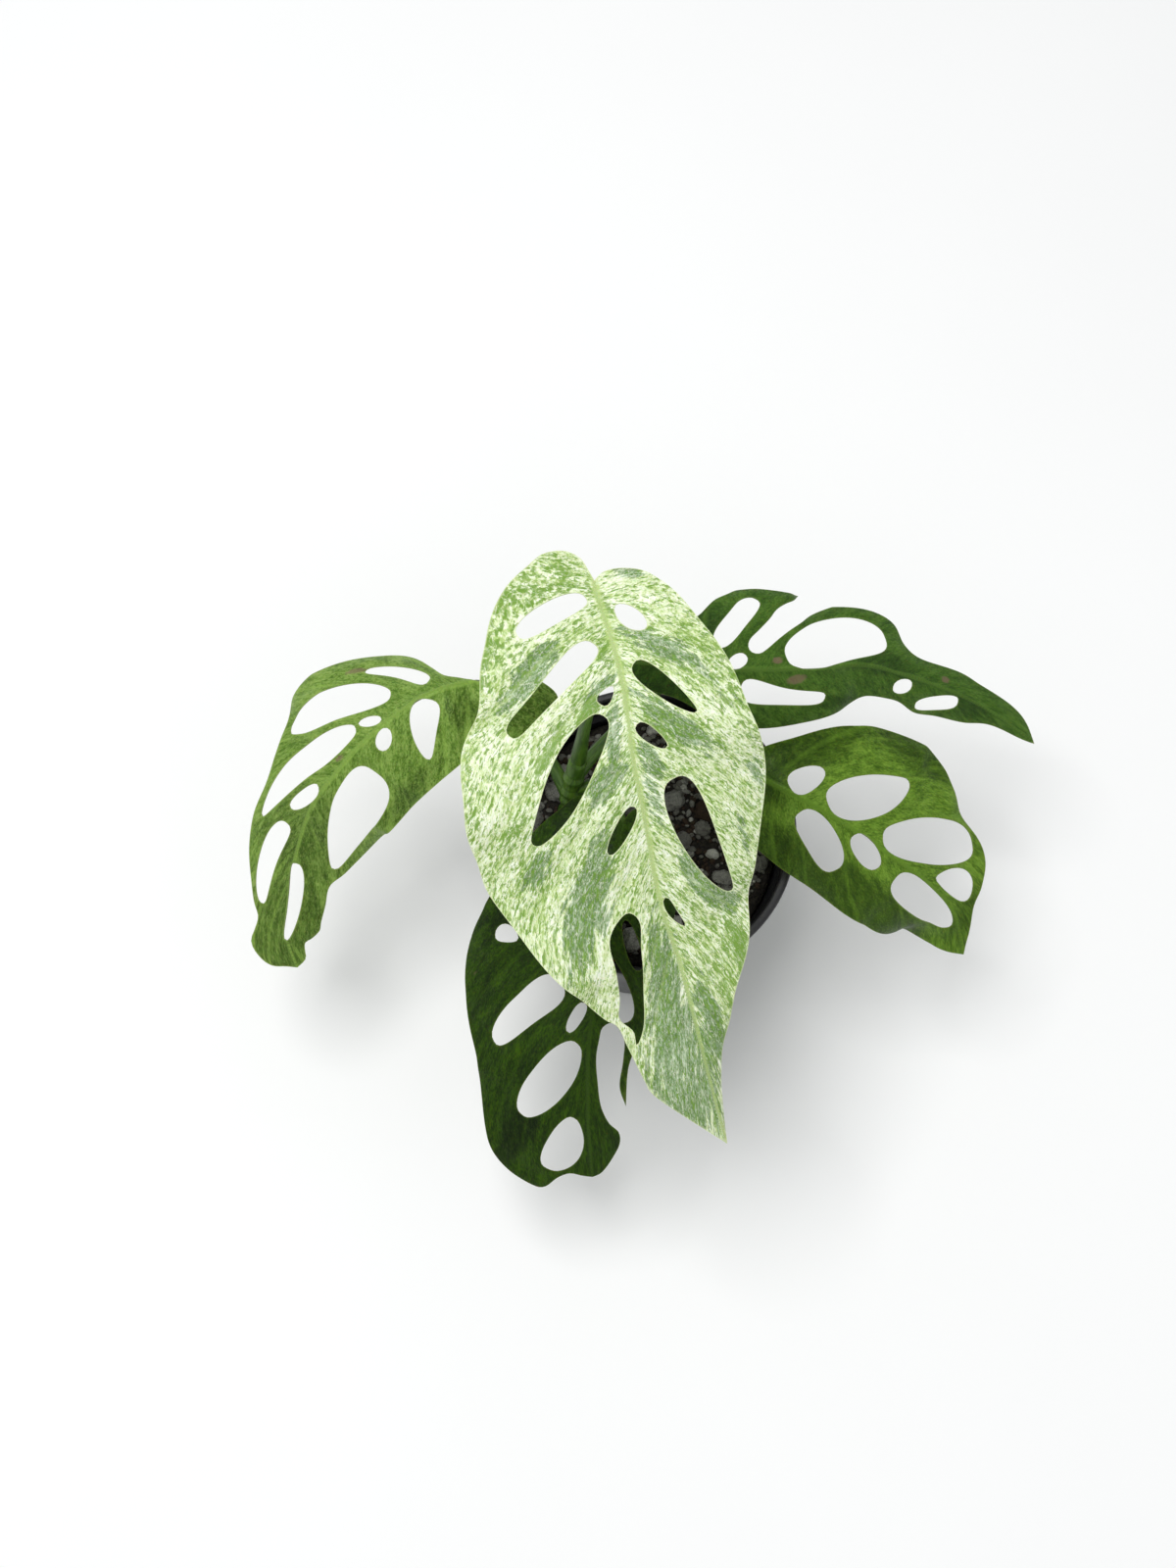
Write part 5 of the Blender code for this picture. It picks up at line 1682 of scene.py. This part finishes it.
@dataclass(frozen=True)
class Pot:
    """The nursery pot: a thin tapered wall, collar, rolled lip, base ring and drain holes, in millimetres."""

    height: float = 88.0
    rim_radius: float = 48.0
    collar_height: float = 12.5
    collar_step: float = 3.4
    base_radius: float = 37.5
    wall: float = 1.6
    floor: float = 2.0
    corner: float = 0.35
    sides: int = 144
    drain_count: int = 8
    drain_radius: float = 3.6
    drain_circle: float = 26.0
    drain_sides: int = 32
    sharp_angle: float = 38.0
    plastic: PotPlastic = PotPlastic()

    @property
    def foot(self) -> float:
        """Return the height of the collar's lower edge."""
        return self.height - self.collar_height

    def wall_radius(self, height: float) -> float:
        """Return the outer radius of the tapered wall."""
        return self.base_radius + (self.rim_radius - self.collar_step - self.base_radius) * height / self.foot

    def inner_radius(self, height: float) -> float:
        """Return the inner radius of the tapered wall."""
        return self.wall_radius(height) - self.wall

    def profile(self) -> list[Pair]:
        """Return the (radius, height) run from the base's middle round the lip to the floor's middle.

        Returns:
            The points of the profile.
        """
        base, rim, foot, top = self.base_radius, self.rim_radius, self.foot, self.height
        ring = [(0.0, 0.5), (base - 6.0, 0.5), (base - 5.4, 0.0), (base - 1.2, 0.0)]
        taper = [(self.wall_radius(h), h) for h in (1.0, foot * 0.35, foot * 0.7, foot - 0.6)]
        lip = [(rim - 1.3, foot + 0.5), (rim - 0.7, top - 2.6), (rim, top - 1.9), (rim, top - 0.7),
               (rim - 0.7, top), (rim - 2.4, top), (rim - 3.0, top - 0.8), (rim - 3.2, foot + 2.0)]
        inner = [(self.inner_radius(h), h) for h in (foot, self.floor)]
        return ring + taper + lip + inner + [(0.0, self.floor)]

    def _drain(self, pot: bpy.types.Object) -> bpy.types.Mesh:
        """Return the pot's mesh with the drain holes cut through its floor.

        Args:
            pot: The closed pot.

        Returns:
            The mesh with its holes.
        """
        group = bpy.data.collections.new("cutters")
        bpy.context.scene.collection.children.link(group)
        reach = self.floor + 1.0
        rod = [(0, -1.0), (self.drain_radius, -1.0), (self.drain_radius, reach), (0, reach)]
        for k in range(self.drain_count):
            a = 2 * math.pi * (k + 0.5) / self.drain_count
            points, faces = turned(rod, self.drain_sides)
            shift = np.array([self.drain_circle * math.cos(a), self.drain_circle * math.sin(a), 0.0])
            cutter = mesh_from("cutter", np.array(points) + shift, faces)
            group.objects.link(bpy.data.objects.new(f"cutter_{k}", cutter))
        cut = pot.modifiers.new("drain", "BOOLEAN")
        cut.operation, cut.solver = "DIFFERENCE", "EXACT"
        cut.operand_type, cut.collection = "COLLECTION", group
        bpy.context.view_layer.update()
        mesh = bpy.data.meshes.new_from_object(pot.evaluated_get(bpy.context.evaluated_depsgraph_get()))
        pot.modifiers.clear()
        for cutter in list(group.objects):
            bpy.data.objects.remove(cutter)
        bpy.data.collections.remove(group)
        return mesh

    def build(self) -> bpy.types.Object:
        """Return the finished pot.

        Returns:
            The pot's object.
        """
        points, faces = turned(rounded(self.profile(), self.corner), self.sides)
        pot = new_object("fine_pot", mesh_from("fine_pot", points, faces))
        pot.data = self._drain(pot)
        pot.data.materials.clear()
        pot.data.materials.append(self.plastic.material())
        pot.data.shade_smooth()
        pot.data.set_sharp_from_angle(angle=math.radians(self.sharp_angle))
        return pot


@dataclass(frozen=True)
class MixFinish:
    """Dark fibrous crumb, pale porous pumice, brown bark and white perlite, all a little stained."""

    crumb: tuple[Triple, ...] = ((22, 20, 18), (52, 47, 41), (84, 78, 68))
    pumice: tuple[Triple, ...] = ((104, 104, 98), (152, 151, 144))
    pore: Triple = (66, 64, 60)
    dull: Triple = (86, 84, 78)
    bark: tuple[Triple, ...] = ((40, 31, 24), (70, 54, 41))
    perlite: tuple[Triple, ...] = ((150, 149, 142), (196, 194, 186))
    stain: Triple = (44, 36, 30)

    def material(self) -> bpy.types.Material:
        """Return the material of the mix, which tells its grains apart by the number on their points.

        Returns:
            The finished material.
        """
        s = Shade("potting mix surface")
        mm = s.millimetres()
        kind, seed, _ = s.split(s.read("grain"))
        crumb = s.noise(mm, 0.9, 5.0, 0.7)
        fine = s.noise(mm, 4.0, 4.0, 0.7)
        pores = s.cells(mm, 1.7)
        soil = s.blend(s.rise(crumb, 0.35, 0.7), *self.crumb[:2])
        soil = s.blend(s.rise(fine, 0.62, 0.72, 0.5), soil, self.crumb[2])
        pumice = s.blend(s.rise(fine, 0.3, 0.7), *self.pumice)
        pumice = s.blend(s.rise(pores, 0.34, 0.1, 0.7), pumice, self.pore)
        pumice = s.blend(s.rise(s.math("FRACT", s.times(seed, 7.31)), 0.2, 0.9, 0.6), pumice, self.dull)
        bark = s.blend(s.rise(fine, 0.35, 0.65), *self.bark)
        perlite = s.blend(s.rise(fine, 0.3, 0.7), *self.perlite)
        colour = soil
        for grain, tint in ((LumpKind.PUMICE, pumice), (LumpKind.BARK, bark), (LumpKind.PERLITE, perlite)):
            colour = s.blend(s.rise(kind, grain.value - 0.6, grain.value - 0.4), colour, tint)
        colour = s.blend(s.rise(s.noise(mm, 0.35, 3.0, 0.6), 0.5, 0.68, 0.45), colour, self.stain)
        height = s.plus(s.times(fine, 0.6), s.times(s.rise(pores, 0.0, 0.5), 0.7))
        rough = s.fused(fine, 0.15, 0.82)
        return s.finish(colour, rough, s.bump(height, 0.7, 0.0005), Specular_IOR_Level=0.3)


def lump_mesh(name: str, stretch: Triple, spin: float, place: Triple, seed: float, kind: LumpKind,
              detail: int = 4) -> bpy.types.Mesh:
    """Return one rough lump.

    Args:
        name: Name of the mesh.
        stretch: Half sizes in millimetres.
        spin: Turn about the upright axis in radians.
        place: Its middle in millimetres.
        seed: Picks its dents.
        kind: Porous pumice, layered bark or round perlite.
        detail: How finely the ball is divided.

    Returns:
        The lump's mesh, with its kind stored as a number on its points.
    """
    ball = bmesh.new()
    bmesh.ops.create_icosphere(ball, subdivisions=detail, radius=1.0)
    tilt = Vector((math.sin(seed * 3.1), math.cos(seed * 1.7), 0.8)).normalized()
    c, s = math.cos(spin), math.sin(spin)
    for vert in ball.verts:
        co = vert.co.copy()
        if kind is LumpKind.BARK:
            push = 1.0 + 0.16 * noise.noise(co * 1.4 + Vector((seed, 0, 0)))
            push -= 0.09 * abs(math.sin(co.dot(tilt) * 9.0 + seed))
        else:
            push = 1.0 + 0.20 * noise.noise(co * 1.6 + Vector((seed, 0, 0)))
            push += 0.09 * noise.noise(co * 4.5 + Vector((0, seed, 0)))
            pits = max(0.0, noise.noise(co * 9.0 + Vector((0, 0, seed))))
            push -= (0.10 if kind is LumpKind.PUMICE else 0.03) * pits
        x, y, z = (part * half * push for part, half in zip(co, stretch))
        vert.co = (Vector(place) + Vector((x * c - y * s, x * s + y * c, z))) * MM
    mesh = bpy.data.meshes.new(name)
    ball.to_mesh(mesh)
    ball.free()
    add_vectors(mesh, "grain", np.tile((kind.value, seed, 0.0), (len(mesh.vertices), 1)))
    mesh.shade_smooth()
    return mesh


@dataclass(frozen=True)
class PottingMix:
    """The mix in the pot: its body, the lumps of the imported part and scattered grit, in millimetres."""

    pot: Pot
    vine: Vine
    level: float = 74.0
    relief: float = 1.3
    body_sides: int = 150
    body_rings: int = 56
    lump_count: int = 46
    lump_size: Pair = (2.3, 4.3)
    lump_shape: tuple[Pair, ...] = ((0.85, 1.25), (0.75, 1.0), (0.6, 0.85))
    lump_seed: int = 11
    lump_corners: int = 36
    stem_clear: float = 3.9
    grit_seed: int = 5
    grit_step: float = 1.6
    grit_spread: float = 420000.0
    grit_apart: float = 1.1
    finish: MixFinish = MixFinish()

    def surface(self, x: float, y: float) -> float:
        """Return the uneven level of the mix."""
        return self.level + self.relief * (wave_at(x, y, 0.11, 3.7) + 0.5 * wave_at(x, y, 0.29, 8.1))

    def _places(self, draw: random.Random) -> list[Triple]:
        """Return (x, y, size) of scattered lumps, clear of each other, of the wall and of the stem.

        Args:
            draw: Where the random numbers come from.

        Returns:
            The places and sizes.
        """
        places: list[Triple] = []
        while len(places) < self.lump_count:
            size = draw.uniform(*self.lump_size)
            reach = self.pot.inner_radius(self.level) - 1.35 * size - 1.0
            r, a = reach * math.sqrt(draw.random()), draw.uniform(0, 2 * math.pi)
            x, y = r * math.cos(a), r * math.sin(a)
            if math.dist((x, y), self.vine.foot) < self.stem_clear + 1.4 * size + 1.0:
                continue
            if all(math.dist((x, y), other[:2]) > 0.72 * (size + other[2]) for other in places):
                places.append((x, y, size))
        return places

    def _body(self) -> bpy.types.Mesh:
        """Return the body of the mix: a tapered plug with an uneven, crumbly top.

        Returns:
            The body's mesh.
        """
        low, high = self.pot.floor + GAP, self.level - 3.0
        outer = self.pot.inner_radius(high) - GAP
        profile = [(0.0, low), (self.pot.inner_radius(low) - GAP, low), (outer, high)]
        profile += [(outer, self.level - 1.0)]
        profile += [(r, self.level) for r in np.linspace(outer - 0.9, 0.6, self.body_rings)]
        points, faces = turned(profile + [(0.0, self.level)], self.body_sides)
        for k in range(1 + 3 * self.body_sides, len(points)):
            x, y, _ = points[k]
            crumbs = 0.45 * wave_at(x, y, 0.8, 1.3) + 0.3 * wave_at(x, y, 1.9, 5.0)
            off = math.dist((x, y), self.vine.foot) / (self.vine.radius + 0.8)
            points[k] = (x, y, self.surface(x, y) + crumbs - 0.2 - 1.2 * math.exp(-(off ** 6)))
        mesh = mesh_from("mix_body", points, faces)
        add_vectors(mesh, "grain", np.zeros((len(points), 3)))
        mesh.shade_smooth()
        return mesh

    def _grit_bed(self) -> bpy.types.Object:
        """Return the top of the mix, inside the wall and clear of the vine, to scatter grit on.

        Returns:
            The object with the bed.
        """
        reach = self.pot.inner_radius(self.level) - 2.6
        xs = np.arange(-reach, reach + self.grit_step, self.grit_step)
        points, index, faces = [], {}, []
        for i, x in enumerate(xs):
            for j, y in enumerate(xs):
                if math.hypot(x, y) < reach and math.dist((x, y), self.vine.foot) > self.vine.radius + 1.6:
                    index[(i, j)] = len(points)
                    points.append((x, y, self.surface(x, y) + 0.1))
        for (i, j), k in index.items():
            corners = [index.get(c) for c in ((i + 1, j), (i + 1, j + 1), (i, j + 1))]
            if None not in corners:
                faces.append((k, *corners))
        return new_object("grit_bed", mesh_from("grit_bed", points, faces))

    def _grit_shapes(self) -> bpy.types.Collection:
        """Return a collection of small stones, bark crumbs and perlite.

        Returns:
            The collection.
        """
        draw = random.Random(self.grit_seed)
        shelf = bpy.data.collections.new("grit_shapes")
        bpy.context.scene.collection.children.link(shelf)
        kinds = [LumpKind.PUMICE] * 7 + [LumpKind.BARK] * 5 + [LumpKind.PERLITE]
        for k, kind in enumerate(kinds):
            flat = 0.5 if kind is LumpKind.BARK else 0.8
            stretch = (draw.uniform(0.8, 1.2), draw.uniform(0.6, 0.9), draw.uniform(0.5, 0.8) * flat)
            spin, seed = draw.uniform(0, 3.0), 3.0 + k * 1.37
            mesh = lump_mesh(f"grit_{k}", stretch, spin, (0, 0, 0.15), seed, kind, 2)
            shelf.objects.link(bpy.data.objects.new(mesh.name, mesh))
        return shelf

    def _grit(self, material: bpy.types.Material) -> bpy.types.Mesh:
        """Return the grit scattered over the mix by Geometry Nodes.

        Args:
            material: The mix's material.

        Returns:
            One plain mesh with all the grit.
        """
        shelf = self._grit_shapes()
        g = Growth("grit")
        dense = g.entry("Spread", "NodeSocketFloat", self.grit_spread)
        apart = g.entry("Distance", "NodeSocketFloat", self.grit_apart * MM)
        seed = g.entry("Seed", "NodeSocketInt", self.grit_seed)
        spots = g.add("GeometryNodeDistributePointsOnFaces", {"distribute_method": "POISSON"},
                      Mesh=g.start.outputs[0], Distance_Min=apart, Density_Max=dense, Seed=seed)
        shapes = g.entry("Shapes", "NodeSocketCollection", shelf)
        pick = g.add("GeometryNodeCollectionInfo", Collection=shapes, Separate_Children=True,
                     Reset_Children=True)
        spin = g.add("FunctionNodeRandomValue", {"data_type": "FLOAT_VECTOR"}, Seed=self.grit_seed + 1)
        spin.inputs[0].default_value = (-0.7, -0.7, 0.0)
        spin.inputs[1].default_value = (0.7, 0.7, 6.283)
        size = g.add("FunctionNodeRandomValue", {"data_type": "FLOAT"}, Seed=self.grit_seed + 2)
        size.inputs[2].default_value = 0.55
        size.inputs[3].default_value = 1.7
        stones = g.add("GeometryNodeInstanceOnPoints", Points=spots.outputs[0], Instance=pick.outputs[0],
                       Pick_Instance=True, Rotation=spin.outputs[0], Scale=size.outputs[1])
        mesh = g.grow(self._grit_bed(), stones.outputs[0], material, "scattered_grit")
        for obj in list(shelf.objects):
            bpy.data.objects.remove(obj)
        bpy.data.collections.remove(shelf)
        return mesh

    def build(self) -> bpy.types.Object:
        """Return the finished potting mix.

        Returns:
            The mix's object.
        """
        material = self.finish.material()
        draw = random.Random(self.lump_seed)
        kinds = (LumpKind.PUMICE, LumpKind.PUMICE, LumpKind.BARK, LumpKind.PUMICE, LumpKind.PERLITE)
        meshes = [self._body()]
        for k, (x, y, size) in enumerate(self._places(draw)):
            stretch = tuple(size * draw.uniform(*limits) for limits in self.lump_shape)
            spin = draw.uniform(0.0, math.pi)
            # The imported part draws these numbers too, so drawing them keeps its lumps and these in step
            for _ in range(self.lump_corners):
                draw.uniform(0.86, 1.12)
            place = (x, y, self.surface(x, y) + 0.2 * size)
            meshes.append(lump_mesh(f"lump_{k}", stretch, spin, place, 1.0 + 0.61 * k, kinds[k % len(kinds)]))
        meshes.append(self._grit(material))
        for mesh in meshes:
            mesh.materials.clear()
            mesh.materials.append(material)
        return merged("fine_soil", meshes)


@dataclass(frozen=True)
class Lamp:
    """A round soft light: place and width in metres, power in watts."""

    name: str
    place: Triple
    width: float
    power: float

    def build(self, target: Triple) -> None:
        """Add the light, turned to the target.

        Args:
            target: The point it shines at, in metres.
        """
        light = bpy.data.lights.new(self.name, "AREA")
        light.shape, light.size, light.energy = "DISK", self.width, self.power
        lamp = bpy.data.objects.new(self.name, light)
        lamp.location = self.place
        lamp.rotation_euler = (Vector(target) - Vector(self.place)).to_track_quat("-Z", "Y").to_euler()
        bpy.context.scene.collection.objects.link(lamp)


@dataclass(frozen=True)
class Studio:
    """The pale floor, the soft light and the camera at the photograph's framing.

    Sizes are in millimetres, but the focal length and the image's height are in the photograph's pixels, and
    the target of the lamps is in metres.
    """

    camera_place: Triple = (-19.0, -161.0, 663.2)
    camera_elevation: float = 73.0
    focal_length: float = 1900.0
    image_height: float = 1600.0
    sensor: float = 36.0
    floor_reach: float = 1500.0
    floor_level: float = -0.05
    floor_tints: tuple[Triple, Triple] = ((248, 248, 247), (252, 252, 251))
    sky: tuple[float, ...] = (0.96, 0.98, 1.0, 1.0)
    sky_strength: float = 0.48
    lamps: tuple[Lamp, ...] = (Lamp("key", (-0.35, 0.12, 1.45), 0.75, 13.5),
                               Lamp("fill", (0.75, -0.5, 0.9), 0.9, 1.2))
    target: Triple = (0.0, 0.0, 0.1)

    def _floor(self) -> None:
        """Add the pale floor."""
        reach = self.floor_reach
        corners = [(x * reach, y * reach, self.floor_level) for x, y in ((-1, -1), (1, -1), (1, 1), (-1, 1))]
        floor = new_object("floor", mesh_from("floor", corners, [(0, 1, 2, 3)]))
        s = Shade("pale floor")
        place = s.add("ShaderNodeTexCoord").outputs["Object"]
        tint = s.blend(s.noise(place, 6.0, 3.0), *self.floor_tints)
        floor.data.materials.append(s.finish(tint, 0.8, Specular_IOR_Level=0.2))

    def _camera(self) -> None:
        """Add the camera."""
        camera = bpy.data.cameras.new("camera")
        camera.sensor_width = self.sensor
        camera.lens = self.focal_length / self.image_height * self.sensor
        camera.clip_start, camera.clip_end = 0.01, 50.0
        stand = bpy.data.objects.new("camera", camera)
        stand.location = Vector(self.camera_place) * MM
        stand.rotation_euler = (math.radians(90.0 - self.camera_elevation), 0.0, 0.0)
        bpy.context.scene.collection.objects.link(stand)
        bpy.context.scene.camera = stand

    def build(self) -> None:
        """Add the floor, the sky, the lamps and the camera."""
        self._floor()
        scene = bpy.context.scene
        scene.view_settings.view_transform = "Standard"
        scene.world = scene.world or bpy.data.worlds.new("studio")
        scene.world.use_nodes = True
        background = scene.world.node_tree.nodes["Background"]
        background.inputs[0].default_value = self.sky
        background.inputs[1].default_value = self.sky_strength
        for lamp in self.lamps:
            lamp.build(self.target)
        self._camera()


def settle(obj: bpy.types.Object, node: str) -> None:
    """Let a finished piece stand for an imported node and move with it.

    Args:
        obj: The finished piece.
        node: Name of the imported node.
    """
    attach(obj, "root")
    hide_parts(node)
    LOG.info("%s: %d faces", obj.name, len(obj.data.polygons))


def main() -> None:
    """Build the dressed plant, its pot and the studio, and log each finished piece's face count."""
    pot, vine = Pot(), Vine()
    settle(pot.build(), "pot")
    settle(PottingMix(pot, vine).build(), "soil")
    settle(vine.build(), "stems")
    for leaf in LEAVES:
        settle(LeafPiece(leaf).build(), leaf.name)
    Studio().build()


if __name__ == "__main__":
    main()
